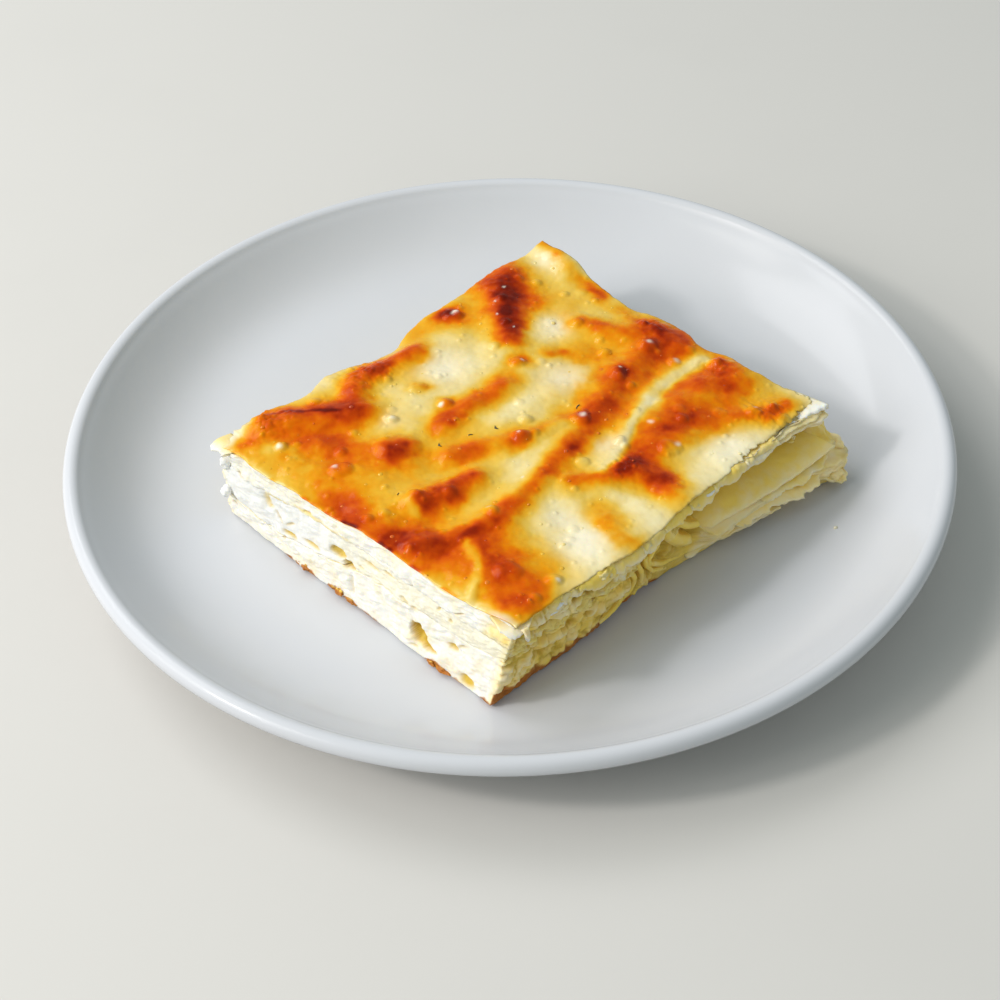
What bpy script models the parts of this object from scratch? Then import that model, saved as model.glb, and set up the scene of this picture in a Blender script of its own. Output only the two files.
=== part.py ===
"""Slice of su boregi on its dinner plate.

Boiled sheets of pastry are stacked under and over a bed of fresh white cheese, baked in
a tray until the top wrinkles and browns, and cut with a knife. The portion keeps the
tray's height, one cut side leans in under the crust, and at the right-hand corner the
lower sheets slide out in a flap. Four solids: the plate, the lower sheets with the
browned base, the cheese, and the upper sheets with the wrinkled crust.

Metres, +Z up. The origin is the middle of the plate, on the table. X runs along the
slice's front cut, Y along its left cut.
"""

import math

import bmesh
import bpy
import numpy as np

MM = 0.001
AIR = 0.35 * MM  # kept between neighbouring solids

# Plate: a white coupe plate, turned about Z.
PLATE_RADIUS = 110 * MM
PLATE_HEIGHT = 21 * MM
WELL_RADIUS = 85 * MM
WELL_HEIGHT = 6.7 * MM
WALL = 4.4 * MM
LIP_ROUND = 2.3 * MM
RISE_POWER = 1.7  # how late the flat well turns up into the rim
FOOT_INNER, FOOT_OUTER = 63 * MM, 70 * MM
FOOT_RECESS = 1.8 * MM
PLATE_SEGMENTS = 56

# Slice: corners of the crust and of the base, as (x, y), named as seen from the front.
CRUST_CORNERS = {
    "front": (-56.6 * MM, -57.8 * MM),
    "right": (47.5 * MM, -58.6 * MM),
    "back": (50.5 * MM, 36.1 * MM),
    "left": (-61.0 * MM, 36.6 * MM),
}
BASE_CORNERS = {
    "front": (-61.0 * MM, -53.6 * MM),
    "right": (51.5 * MM, -58.6 * MM),
    "back": (53.0 * MM, 38.0 * MM),
    "left": (-59.6 * MM, 37.9 * MM),
}
BASE_HEIGHT = WELL_HEIGHT + AIR
CRUST_HEIGHT = 31.3 * MM  # the pale hollows between the folds, at the front corner
CRUST_FALL = 1.2 * MM  # how much lower the right-hand cut is than the left-hand one

# How far each cut edge strays from its straight line, outwards:
# (place along the edge, spread, distance), in millimetres.
CRUST_EDGE = {
    "front": [(-19, 12, 1.9), (-47, 7, -0.9), (12, 8, -0.3)],
    "right": [(4, 13, -3.2), (-22, 6, -2.2), (-36, 4, -1.8), (-53, 4, 2.0)],
    "back": [(-35, 6, -2.4), (-9, 9, -3.6), (31, 7, 0.9)],
    "left": [(20, 8, 0.5), (-12, 9, -0.5), (-40, 8, 0.4)],
}
BASE_EDGE = {
    "front": [(-8, 17, -2.2), (24, 8, -0.6), (52, 9, 5.2)],
    "right": [(-58, 9, 2.4), (-20, 12, -1.4), (14, 10, -0.8)],
    "back": [(-30, 12, -1.0), (10, 12, -1.4)],
    "left": [(8, 14, 0.5), (-28, 10, 0.6)],
}

# Folds of the crust: millimetre points along the crest, half-width, rise.
CRUST_FOLDS = {
    "left corner fold": ([(-50, 33), (-43, 28.5), (-37, 24), (-30, 20)], 4.5, 1.9),
    "left strip": ([(-57, 27), (-53, 12), (-49, 0), (-55, -13)], 7.0, 0.8),
    "left middle": ([(-46, 18), (-39, 11), (-34, 4)], 5.5, 1.0),
    "back crest": ([(-30, 22), (-23, 29), (-15, 29.5), (-5, 28.5)], 3.6, 1.5),
    "back streak": ([(38, 36), (29, 31), (22, 22), (14.5, 14)], 5.0, 1.6),
    "short fold": ([(-20, 1), (-10, 2.8), (1, 1.5)], 3.2, 1.0),
    "oval fold": ([(-44, -13), (-36, -16), (-28, -17)], 4.0, 1.6),
    "second fold": ([(-26, -7), (-17, -11.5), (-10, -15), (5, -20)], 3.0, 1.1),
    "long fold": (
        [(-52, -24), (-44, -28), (-33, -30), (-18, -28), (7, -23.5), (17, -17), (38, -11)],
        3.8,
        1.7,
    ),
    "right edge fold": ([(33, 5), (36, -4), (43, -10), (43, -18)], 4.5, 1.2),
    "pale crest": ([(-3, -38), (9, -32.5), (19, -27.5), (29, -24), (40, -26)], 2.4, 1.5),
    "front field": ([(13, -39), (24, -36), (34, -34), (42, -37)], 7.0, 1.4),
    "front arm": ([(-14, -34), (-7, -39), (0, -42), (2, -49), (0, -57)], 4.0, 1.0),
    "front corner field": ([(-46, -38), (-45, -48), (-51, -54)], 9.0, 1.3),
    "pale crease": ([(-44, -31), (-49, -40), (-56, -44)], 1.8, 0.9),
    "yellow patch": ([(-18, -48), (-20, -56)], 4.0, 0.5),
    "scaly corner": ([(31, -46), (37, -50), (43, -52)], 4.0, 0.8),
}
# Blisters of the crust: millimetre place, radius, rise.
CRUST_BLISTERS = [
    (-48, 8, 3.2, 1.2),
    (-34, 4, 5.5, 1.2),
    (-13, 7.5, 2.8, 1.2),
    (10, 6, 2.8, 1.1),
    (-10.5, -15.5, 2.8, 1.3),
    (5, -20.5, 2.8, 1.3),
    (24, -15, 3.2, 1.3),
    (37, -13, 3.0, 1.3),
    (43, -30, 3.2, 1.5),
    (-45, -44, 4.2, 1.4),
    (-39.5, -53.5, 2.6, 1.2),
    (-33.5, -28.5, 3.2, 1.2),
    (-52, -23, 6.5, 1.1),
    (12, 32, 3.6, 1.5),
]

# Hollows and lumps of the cut sides: side, place along it, height, half-length,
# half-height, distance outwards, in millimetres.
CUT_RELIEF = [
    ("left", -30, 13.5, 3.6, 2.8, -3.2),
    ("left", -3, 20.5, 3.2, 1.8, -2.2),
    ("left", -14, 23.0, 3.2, 1.2, -1.2),
    ("left", 30, 20.0, 8.0, 6.0, 1.0),
    ("left", -46, 9.5, 2.6, 1.8, -1.6),
    ("front", -47, 21.0, 4.0, 2.6, -2.4),
    ("front", -30, 26.5, 4.0, 2.2, -3.0),
    ("front", -24, 21.5, 3.6, 2.6, 1.3),
    ("front", -16, 17.0, 2.4, 5.0, -2.6),
    ("front", -10, 19.0, 2.2, 6.0, 1.4),
    ("front", -4, 21.0, 2.2, 4.0, -2.4),
    ("front", 4, 16.5, 2.4, 2.2, -2.2),
    ("front", 46, 11.0, 5.0, 3.0, 2.2),
    ("right", -50, 11.0, 5.0, 3.0, 2.4),
    ("right", -24, 17.0, 6.0, 3.0, -1.4),
    ("right", 8, 20.0, 7.0, 3.0, -1.2),
    ("back", -30, 18.0, 7.0, 3.0, -1.4),
    ("back", 14, 14.0, 7.0, 3.0, 1.0),
]

# Bed of cheese: thick along the left cut, thin under the rest of the crust.
CHEESE_TOP = 25.4 * MM
CHEESE_THIN_BOTTOM = 20.6 * MM
CHEESE_THICK_EXTRA = 7.2 * MM
CHEESE_THICK_AT = (-62 * MM, 20 * MM)
CHEESE_THICK_SPREAD = (44 * MM, 28 * MM)

# Flap of the lower sheets at the right-hand end of the front cut.
FLAP_START, FLAP_FULL = 2 * MM, 10 * MM
FLAP_RIGHT_END, FLAP_RIGHT_FADE = -52 * MM, -36 * MM
FLAP_TOP = 24.6 * MM
FLAP_EDGE_DROP = 7.6 * MM
FLAP_EDGE_OUT = 4.2 * MM
FLAP_DEPTH = 13 * MM
FLAP_CHEESE_BACK = 9.5 * MM

# Mesh density of the slice.
COLUMNS, ROWS = 48, 40
CAP_STEP = 4
CAP_INSET = {"left": 0.06, "right": 0.13, "front": 0.15, "back": 0.07}


def smooth_step(value, start, end):
    part = np.clip((value - start) / (end - start), 0.0, 1.0)
    return part * part * (3 - 2 * part)


def distance_to_line(x, y, points):
    """Shortest distance from each (x, y) to a line through points."""
    nearest = np.full(np.shape(x), np.inf)
    for (x0, y0), (x1, y1) in zip(points[:-1], points[1:]):
        along_x, along_y = x1 - x0, y1 - y0
        length2 = along_x**2 + along_y**2
        part = np.clip(((x - x0) * along_x + (y - y0) * along_y) / length2, 0.0, 1.0)
        gap = np.hypot(x - x0 - part * along_x, y - y0 - part * along_y)
        nearest = np.minimum(nearest, gap)
    return nearest


def lumps(x, y, z, wavelength, seed):
    """Soft unevenness of baked dough, between about -1 and 1."""
    draw = np.random.default_rng(seed)
    total = np.zeros(np.broadcast(x, y, z).shape)
    for _ in range(7):
        direction = draw.normal(size=3)
        direction /= np.linalg.norm(direction)
        turn = 2 * math.pi / (wavelength * draw.uniform(0.7, 1.5))
        phase = draw.uniform(0, 2 * math.pi)
        total += np.sin(turn * (direction[0] * x + direction[1] * y + direction[2] * z) + phase)
    return total / 3.2


# ---------------------------------------------------------------- plan of the slice


def stray(bumps, place):
    """Sum of the named strays of a cut edge, at a place along it."""
    total = np.zeros(np.shape(place))
    for middle, spread, distance in bumps:
        total += distance * MM * np.exp(-(((place / MM) - middle) / spread) ** 2)
    return total


def plan_at(u, v, corners, edges):
    """(x, y) of the point u of the way from left to right and v from front to back."""
    front, right = np.array(corners["front"]), np.array(corners["right"])
    left, back = np.array(corners["left"]), np.array(corners["back"])
    u, v = u[..., None], v[..., None]
    point = (front * (1 - u) + right * u) * (1 - v) + (left * (1 - u) + back * u) * v
    x, y = point[..., 0].copy(), point[..., 1].copy()
    u, v = u[..., 0], v[..., 0]
    reach = 8  # the strays die away within about an eighth of the slice
    y_shift = stray(edges["back"], x) * v**reach - stray(edges["front"], x) * (1 - v) ** reach
    x_shift = stray(edges["right"], y) * u**reach - stray(edges["left"], y) * (1 - u) ** reach
    return x + x_shift, y + y_shift


def plan(u, v, level):
    """(x, y) at a level between the base, 0, and the crust, 1."""
    x0, y0 = plan_at(u, v, BASE_CORNERS, BASE_EDGE)
    x1, y1 = plan_at(u, v, CRUST_CORNERS, CRUST_EDGE)
    return x0 + (x1 - x0) * level, y0 + (y1 - y0) * level


def level_of(z):
    return np.clip((z - BASE_HEIGHT) / (CRUST_HEIGHT - BASE_HEIGHT), 0.0, 1.0)


def rim():
    """u, v, outward direction and side of the points round the slice, anticlockwise."""
    u, v, out, sides = [], [], [], []
    for step in range(COLUMNS):
        u.append(step / COLUMNS), v.append(0.0), out.append((0, -1)), sides.append("front")
    for step in range(ROWS):
        u.append(1.0), v.append(step / ROWS), out.append((1, 0)), sides.append("right")
    for step in range(COLUMNS):
        u.append(1 - step / COLUMNS), v.append(1.0), out.append((0, 1)), sides.append("back")
    for step in range(ROWS):
        u.append(0.0), v.append(1 - step / ROWS), out.append((-1, 0)), sides.append("left")
    out = np.array(out, float)
    corners = [0, COLUMNS, COLUMNS + ROWS, 2 * COLUMNS + ROWS]
    for corner in corners:
        out[corner] = (out[corner] + out[corner - 1]) * 0.7
    return np.array(u), np.array(v), out, np.array(sides)


RIM_U, RIM_V, RIM_OUT, RIM_SIDE = rim()


def flap_share():
    """How much of the flap's slope each rim point has, 0 to 1."""
    x, y = plan(RIM_U, RIM_V, 0.5)
    front = smooth_step(x, FLAP_START, FLAP_FULL) * (RIM_SIDE == "front")
    right = (1 - smooth_step(y, FLAP_RIGHT_END, FLAP_RIGHT_FADE)) * (RIM_SIDE == "right")
    return front + right


# ---------------------------------------------------------------- heights


def crust_height(x, y):
    """Top of the crust: hollows, folds, blisters and a slight fall to the right."""
    x_mm, y_mm = x / MM, y / MM
    rise = np.zeros(np.shape(x))
    for points, half_width, crest in CRUST_FOLDS.values():
        gap = distance_to_line(x_mm, y_mm, points)
        bump = crest * np.exp(-((gap / half_width) ** 2))
        rise = np.maximum(rise, bump) + 0.25 * np.minimum(rise, bump)
    for x0, y0, radius, crest in CRUST_BLISTERS:
        gap2 = ((x_mm - x0) ** 2 + (y_mm - y0) ** 2) / radius**2
        rise += crest * np.clip(1 - gap2, 0, None) ** 1.2
    swell = 0.35 * lumps(x_mm, y_mm, 0.0, 22.0, 3) + 0.16 * lumps(x_mm, y_mm, 0.0, 8.0, 4)
    fall = smooth_step(x, -20 * MM, 48 * MM) * CRUST_FALL
    back_sag = 1.4 * np.exp(-(((x_mm + 9) / 12) ** 2)) * smooth_step(y, 22 * MM, 34 * MM)
    return CRUST_HEIGHT + (rise + swell - back_sag) * MM - fall


def cheese_top(x, y):
    return CHEESE_TOP + 0.5 * MM * np.sin(x / (17 * MM)) * np.cos(y / (21 * MM))


def cheese_bottom(x, y):
    """Underside of the cheese: low along the left cut, high under the flap's root."""
    across = (x - CHEESE_THICK_AT[0]) / CHEESE_THICK_SPREAD[0]
    along = (y - CHEESE_THICK_AT[1]) / CHEESE_THICK_SPREAD[1]
    thick = CHEESE_THICK_EXTRA * np.exp(-(across**2) - along**2)
    rise = smooth_step(x, -12 * MM, 34 * MM) * (1 - smooth_step(y, -40 * MM, 14 * MM))
    return CHEESE_THIN_BOTTOM - thick + (FLAP_TOP - 1.4 * MM - CHEESE_THIN_BOTTOM) * rise


def base_height(x, y):
    """Underside of the base: flat on the plate, lifted a little along the front cut."""
    lift = np.exp(-(((x / MM) + 17) / 9) ** 2) * 1.2 + np.exp(-(((x / MM) - 30) / 9) ** 2) * 0.8
    near_front = 1 - smooth_step(y, -56 * MM, -50 * MM)
    return BASE_HEIGHT + lift * near_front * MM


# ---------------------------------------------------------------- cut sides


def cut_relief(x, y, z):
    """Distance outwards of hollows, lumps and unevenness on the cut sides."""
    out = 0.55 * MM * lumps(x / MM, y / MM, 1.6 * z / MM, 11.0, 11)
    out += 0.35 * MM * lumps(x / MM, y / MM, 2.4 * z / MM, 5.5, 12)
    for side, place, height, half_length, half_height, distance in CUT_RELIEF:
        along = x if side in ("front", "back") else y
        far = ((along / MM - place) / half_length) ** 2 + ((z / MM - height) / half_height) ** 2
        out += distance * MM * np.exp(-(far**1.5)) * (RIM_SIDE == side)
    return out


def side_loop(z, extra_out):
    """One ring of points round the slice, at heights z, pushed out by the relief."""
    x, y = plan(RIM_U, RIM_V, level_of(z))
    out = cut_relief(x, y, z) + extra_out
    return np.column_stack([x + RIM_OUT[:, 0] * out, y + RIM_OUT[:, 1] * out, z])


def inset_loop(distance, height):
    """A ring at a distance in from the rim, at the heights of a surface."""
    x, y = plan(RIM_U, RIM_V, 0.6)
    x = x - RIM_OUT[:, 0] * distance
    y = y - RIM_OUT[:, 1] * distance
    return np.column_stack([x, y, height(x, y)])


# ---------------------------------------------------------------- solids from rings


def wall_faces(ring_count, points_per_ring):
    """Triangles between rings that follow each other upwards."""
    faces = []
    for ring in range(ring_count - 1):
        low, high = ring * points_per_ring, (ring + 1) * points_per_ring
        for step in range(points_per_ring):
            after = (step + 1) % points_per_ring
            a, b, c, d = low + step, low + after, high + after, high + step
            faces += [(a, b, c), (a, c, d)]
    return faces


def coarse_cap(points, ring_start, level, height, upward):
    """Closes a ring with a coarse grid of CAP_STEP times fewer points."""
    columns, rows = COLUMNS // CAP_STEP, ROWS // CAP_STEP
    u = np.linspace(CAP_INSET["left"], 1 - CAP_INSET["right"], columns + 1)
    v = np.linspace(CAP_INSET["front"], 1 - CAP_INSET["back"], rows + 1)
    grid_u, grid_v = np.meshgrid(u, v)
    x, y = plan(grid_u, grid_v, level)
    first = len(points)
    points += [tuple(point) for point in np.stack([x, y, height(x, y)], -1).reshape(-1, 3)]

    def at(column, row):
        return first + row * (columns + 1) + column

    inner = [at(step, 0) for step in range(columns)]
    inner += [at(columns, step) for step in range(rows)]
    inner += [at(columns - step, rows) for step in range(columns)]
    inner += [at(0, rows - step) for step in range(rows)]
    faces = []
    count = 2 * (COLUMNS + ROWS)
    for step, here in enumerate(inner):
        beyond = inner[(step + 1) % len(inner)]
        a, b, c, d, e = (ring_start + (CAP_STEP * step + k) % count for k in range(5))
        faces += [(a, b, here), (b, c, here), (c, beyond, here), (c, d, beyond), (d, e, beyond)]
    for row in range(rows):
        for column in range(columns):
            a, b = at(column, row), at(column + 1, row)
            c, d = at(column + 1, row + 1), at(column, row + 1)
            faces += [(a, b, c), (a, c, d)]
    return faces if upward else [face[::-1] for face in faces]


def add_solid(name, points, faces, colour, roughness):
    mesh = bpy.data.meshes.new(name)
    mesh.from_pydata([tuple(float(n) for n in point) for point in points], [], faces)
    mesh.validate()
    mesh.shade_smooth()
    mesh.set_sharp_from_angle(angle=math.radians(50))
    mesh.materials.append(finish(name, colour, roughness))
    solid = bpy.data.objects.new(name, mesh)
    bpy.context.scene.collection.objects.link(solid)
    return solid


def finish(name, colour, roughness):
    material = bpy.data.materials.new(name)
    material.use_nodes = True
    shader = material.node_tree.nodes["Principled BSDF"]
    shader.inputs["Base Color"].default_value = (*colour, 1.0)
    shader.inputs["Roughness"].default_value = roughness
    shader.inputs["Metallic"].default_value = 0.0
    return material


# ---------------------------------------------------------------- the four pieces


def build_plate():
    """White glazed plate: flat well, curved rise, round lip, foot ring underneath."""
    rise_end = PLATE_RADIUS - LIP_ROUND
    lip_middle = PLATE_HEIGHT - LIP_ROUND
    outline = [(0.0, WELL_HEIGHT), (0.4 * WELL_RADIUS, WELL_HEIGHT)]
    outline += [(0.75 * WELL_RADIUS, WELL_HEIGHT), (WELL_RADIUS, WELL_HEIGHT)]
    for part in (0.17, 0.34, 0.5, 0.66, 0.82, 0.94):
        radius = WELL_RADIUS + (rise_end - LIP_ROUND - WELL_RADIUS) * part
        height = WELL_HEIGHT + (lip_middle + 0.6 * MM - WELL_HEIGHT) * part**RISE_POWER
        outline.append((radius, height))
    for degrees in (150, 115, 80, 45, 10, -25):
        turn = math.radians(degrees)
        outline.append(
            (rise_end + LIP_ROUND * math.cos(turn), lip_middle + LIP_ROUND * math.sin(turn))
        )
    under_start = (rise_end - 1.0 * MM, lip_middle - LIP_ROUND * 1.35)
    under_end = (FOOT_OUTER + 2 * MM, WELL_HEIGHT - WALL)
    for part in (0.0, 0.2, 0.45, 0.7, 1.0):
        radius = under_start[0] + (under_end[0] - under_start[0]) * part
        drop = under_end[1] + (under_start[1] - under_end[1]) * (1 - part) ** 1.75
        outline.append((radius, drop))
    outline += [(FOOT_OUTER, 0.0), (FOOT_INNER, 0.0), (FOOT_INNER - 1.6 * MM, FOOT_RECESS)]
    outline.append((0.0, FOOT_RECESS))

    shape = bmesh.new()
    line = [shape.verts.new((radius, 0.0, height)) for radius, height in outline]
    for start, end in zip(line[:-1], line[1:]):
        shape.edges.new((start, end))
    bmesh.ops.spin(
        shape,
        geom=shape.verts[:] + shape.edges[:],
        cent=(0, 0, 0),
        axis=(0, 0, 1),
        angle=2 * math.pi,
        steps=PLATE_SEGMENTS,
        use_merge=True,
    )
    bmesh.ops.remove_doubles(shape, verts=shape.verts[:], dist=0.01 * MM)
    bmesh.ops.recalc_face_normals(shape, faces=shape.faces[:])
    mesh = bpy.data.meshes.new("plate")
    shape.to_mesh(mesh)
    shape.free()
    mesh.shade_smooth()
    mesh.set_sharp_from_angle(angle=math.radians(40))
    mesh.materials.append(finish("plate", (0.83, 0.84, 0.85), 0.12))
    plate = bpy.data.objects.new("plate", mesh)
    bpy.context.scene.collection.objects.link(plate)


def build_lower_pastry():
    """Lower sheets and browned base; at the right-hand corner they slide out as a flap."""
    flap = flap_share()

    def top(x, y):
        return cheese_bottom(x, y) - AIR

    x, y = plan(RIM_U, RIM_V, 0.0)
    bottom_z = base_height(x, y)
    x, y = plan(RIM_U, RIM_V, 0.5)
    edge_z = top(x, y) * (1 - flap) + (FLAP_TOP - FLAP_EDGE_DROP) * flap
    rings = []
    side_rows = 5
    for row in range(side_rows + 1):
        share = row / side_rows
        z = bottom_z + (edge_z - bottom_z) * share
        sheet = 0.35 * MM * (1 if row % 2 else -1) * (0 < row < side_rows)
        bulge = FLAP_EDGE_OUT * flap * share**1.5
        rings.append(side_loop(z, sheet + bulge))
    for distance, share in ((3.0 * MM, 0.7), (7.5 * MM, 0.36)):

        def sloped(x, y, share=share):
            slope = FLAP_TOP - FLAP_EDGE_DROP * share
            return top(x, y) - np.maximum(top(x, y) - slope, 0.0) * flap

        rings.append(inset_loop(distance, sloped))
    points = [tuple(point) for ring in rings for point in ring]
    count = len(RIM_U)
    faces = wall_faces(len(rings), count)
    faces += coarse_cap(points, 0, 0.0, lambda x, y: np.full(x.shape, BASE_HEIGHT), False)
    faces += coarse_cap(points, (len(rings) - 1) * count, 0.6, top, True)
    add_solid("lower_pastry", points, faces, (0.80, 0.66, 0.40), 0.5)


def build_cheese_filling():
    """Bed of white cheese; it stops short of the gap behind the flap."""
    back_by = -FLAP_CHEESE_BACK * flap_share()
    x, y = plan(RIM_U, RIM_V, 0.6)
    inward_x, inward_y = x + RIM_OUT[:, 0] * back_by, y + RIM_OUT[:, 1] * back_by
    low = cheese_bottom(inward_x, inward_y)
    high = cheese_top(inward_x, inward_y)
    rings = []
    side_rows = 3
    for row in range(side_rows + 1):
        share = row / side_rows
        round_out = 0.9 * MM * math.sin(math.pi * share) - 0.3 * MM
        rings.append(side_loop(low + (high - low) * share, round_out + back_by))
    points = [tuple(point) for ring in rings for point in ring]
    count = len(RIM_U)
    faces = wall_faces(len(rings), count)
    faces += coarse_cap(points, 0, 0.6, cheese_bottom, False)
    faces += coarse_cap(points, side_rows * count, 0.6, cheese_top, True)
    add_solid("cheese_filling", points, faces, (0.87, 0.85, 0.77), 0.6)


def build_upper_pastry():
    """Upper sheets: ragged edges below, the wrinkled and blistered crust on top."""

    def bottom(x, y):
        return cheese_top(x, y) + AIR

    x, y = plan(RIM_U, RIM_V, 1.0)
    low, high = bottom(x, y), crust_height(x, y) - 0.7 * MM
    tip = np.exp(-(((x - CRUST_CORNERS["right"][0]) / (7 * MM)) ** 2))
    tip *= np.exp(-(((y - CRUST_CORNERS["right"][1]) / (7 * MM)) ** 2))
    rings = []
    side_rows = 4
    for row in range(side_rows + 1):
        share = row / side_rows
        sheet = 0.4 * MM * (1 if row % 2 else -1) * (row < side_rows)
        rings.append(side_loop(low + (high - low) * share, sheet + 1.6 * MM * tip * (1 - share)))
    points = [tuple(point) for ring in rings for point in ring]
    count = len(RIM_U)
    faces = wall_faces(len(rings), count)
    faces += coarse_cap(points, 0, 0.6, bottom, False)

    grid_u, grid_v = np.meshgrid(
        np.linspace(0, 1, COLUMNS + 1)[1:-1], np.linspace(0, 1, ROWS + 1)[1:-1]
    )
    x, y = plan(grid_u, grid_v, 1.0)
    first = len(points)
    crust = np.stack([x, y, crust_height(x, y)], -1)
    points += [tuple(point) for point in crust.reshape(-1, 3)]
    edge = side_rows * count

    def at(column, row):
        if row == 0:
            return edge + column
        if column == COLUMNS:
            return edge + COLUMNS + row
        if row == ROWS:
            return edge + 2 * COLUMNS + ROWS - column
        if column == 0:
            return edge + (count - row) % count
        return first + (row - 1) * (COLUMNS - 1) + column - 1

    for row in range(ROWS):
        for column in range(COLUMNS):
            a, b = at(column, row), at(column + 1, row)
            c, d = at(column + 1, row + 1), at(column, row + 1)
            if (row + column) % 2:
                faces += [(a, b, c), (a, c, d)]
            else:
                faces += [(a, b, d), (b, c, d)]
    add_solid("upper_pastry", points, faces, (0.76, 0.42, 0.10), 0.35)


for existing in list(bpy.data.objects):
    bpy.data.objects.remove(existing, do_unlink=True)
build_plate()
build_lower_pastry()
build_cheese_filling()
build_upper_pastry()
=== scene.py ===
"""Looks of the su boregi slice on its dinner plate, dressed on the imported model.

Lengths in the plate and slice sections are millimetres in the row frame, +Z up, with the
origin in the middle of the plate on the table; they become metres where a mesh is made.
"""

import math

import bmesh
import bpy
import numpy as np
from mathutils import Matrix, Vector, noise


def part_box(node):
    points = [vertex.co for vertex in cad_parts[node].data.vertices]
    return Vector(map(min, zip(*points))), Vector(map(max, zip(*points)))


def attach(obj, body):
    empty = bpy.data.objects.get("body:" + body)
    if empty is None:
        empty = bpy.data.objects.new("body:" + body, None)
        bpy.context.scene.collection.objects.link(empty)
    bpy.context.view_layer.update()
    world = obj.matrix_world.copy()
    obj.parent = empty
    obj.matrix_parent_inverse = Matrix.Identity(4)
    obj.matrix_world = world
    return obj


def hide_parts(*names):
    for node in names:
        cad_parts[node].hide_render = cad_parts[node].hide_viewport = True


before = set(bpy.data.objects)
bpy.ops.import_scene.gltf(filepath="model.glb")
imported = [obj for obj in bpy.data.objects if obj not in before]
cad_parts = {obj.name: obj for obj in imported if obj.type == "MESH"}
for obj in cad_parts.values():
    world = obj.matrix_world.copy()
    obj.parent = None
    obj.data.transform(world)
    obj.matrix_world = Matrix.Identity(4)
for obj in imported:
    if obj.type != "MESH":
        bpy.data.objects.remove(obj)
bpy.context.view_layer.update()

MM = 0.001

# ---------------------------------------------------------------- plate
# A white coupe dinner plate of porcelain: flat well, curved rise, round lip. It is turned
# on a wheel, dipped in clear glaze and fired standing on its foot ring, whose lowest edge
# is wiped bare.

PLATE_LIP_ROUND = 2.3
WELL_RADIUS = 85.0
WELL_HEIGHT = 6.7
WALL_THICKNESS = 4.4
RISE_POWER = 1.7
WELL_TURN = 8.0  # half the width over which the flat well turns up
WELL_RINGS, UNDERSIDE_RINGS = 64, 18
FOOT_INNER, FOOT_OUTER = 63.0, 70.0
FOOT_RECESS = 1.8
FOOT_EDGE_ROUND = 0.9
PLATE_TURN_STEPS = 240
POLE_MERGE = 0.01
GLAZE_WHITE = (0.605, 0.615, 0.645, 1.0)
GLAZE_SHADE = (0.575, 0.585, 0.615, 1.0)
BARE_PORCELAIN = (0.60, 0.57, 0.52, 1.0)


def feed(tree, node, inputs):
    """Sets a node's inputs to values, or links them to sockets."""
    for name, value in inputs.items():
        if isinstance(value, bpy.types.NodeSocket):
            tree.links.new(value, node.inputs[name])
        else:
            node.inputs[name].default_value = value


def new_node(tree, kind, inputs=None, **settings):
    """A node with its settings made and its inputs set or linked."""
    node = tree.nodes.new(kind)
    for name, value in settings.items():
        setattr(node, name, value)
    feed(tree, node, inputs or {})
    return node


def calculate(tree, operation, first, second=0.0, third=0.0):
    """Output of a maths node on two or three values or sockets."""
    values = {0: first, 1: second, 2: third}
    return new_node(tree, "ShaderNodeMath", values, operation=operation).outputs[0]


def mix_colours(tree, share, first, second):
    """Output of a colour mix; share 0 gives the first colour."""
    inputs = {0: share, 6: first, 7: second}
    return new_node(tree, "ShaderNodeMix", inputs, data_type="RGBA").outputs[2]


def soft_noise(tree, place, scale, detail, roughness=0.5):
    """Random values over a surface, 0 to 1; scale is swells in a metre."""
    inputs = {"Vector": place, "Scale": scale, "Detail": detail, "Roughness": roughness}
    return new_node(tree, "ShaderNodeTexNoise", inputs).outputs["Fac"]


def rescale(tree, value, start, end, low=0.0, high=1.0):
    """A value rescaled so that start gives low and end gives high, held between them."""
    ends = {"From Min": start, "From Max": end, "To Min": low, "To Max": high}
    return new_node(tree, "ShaderNodeMapRange", {"Value": value, **ends}).outputs[0]


def fine_relief(tree, height, strength, depth):
    """A surface's normal under a fine relief, its depth in millimetres."""
    inputs = {"Height": height, "Strength": strength, "Distance": depth * MM}
    return new_node(tree, "ShaderNodeBump", inputs).outputs[0]


def new_group(name, kind, inputs, outputs):
    """An empty node group with named sockets, and the values given to it."""
    tree = bpy.data.node_groups.new(name, kind)
    for sockets, in_out in ((inputs, "INPUT"), (outputs, "OUTPUT")):
        for label, socket in sockets.items():
            tree.interface.new_socket(label, in_out=in_out, socket_type="NodeSocket" + socket)
    return tree, tree.nodes.new("NodeGroupInput").outputs


def end_form(tree, label, geometry, finish):
    """Ends a geometry tree: its instances are made real and get their finish."""
    real = new_node(tree, "GeometryNodeRealizeInstances", {"Geometry": geometry}).outputs[0]
    done = new_node(tree, "GeometryNodeSetMaterial", {"Geometry": real, "Material": finish})
    new_node(tree, "NodeGroupOutput", {label: done.outputs[0]})


def new_material(name):
    """A material with its node tree, its shader and its own place in object space."""
    material = bpy.data.materials.new(name)
    material.use_nodes = True
    tree = material.node_tree
    place = tree.nodes.new("ShaderNodeTexCoord").outputs["Object"]
    return material, tree, tree.nodes["Principled BSDF"], place


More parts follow.
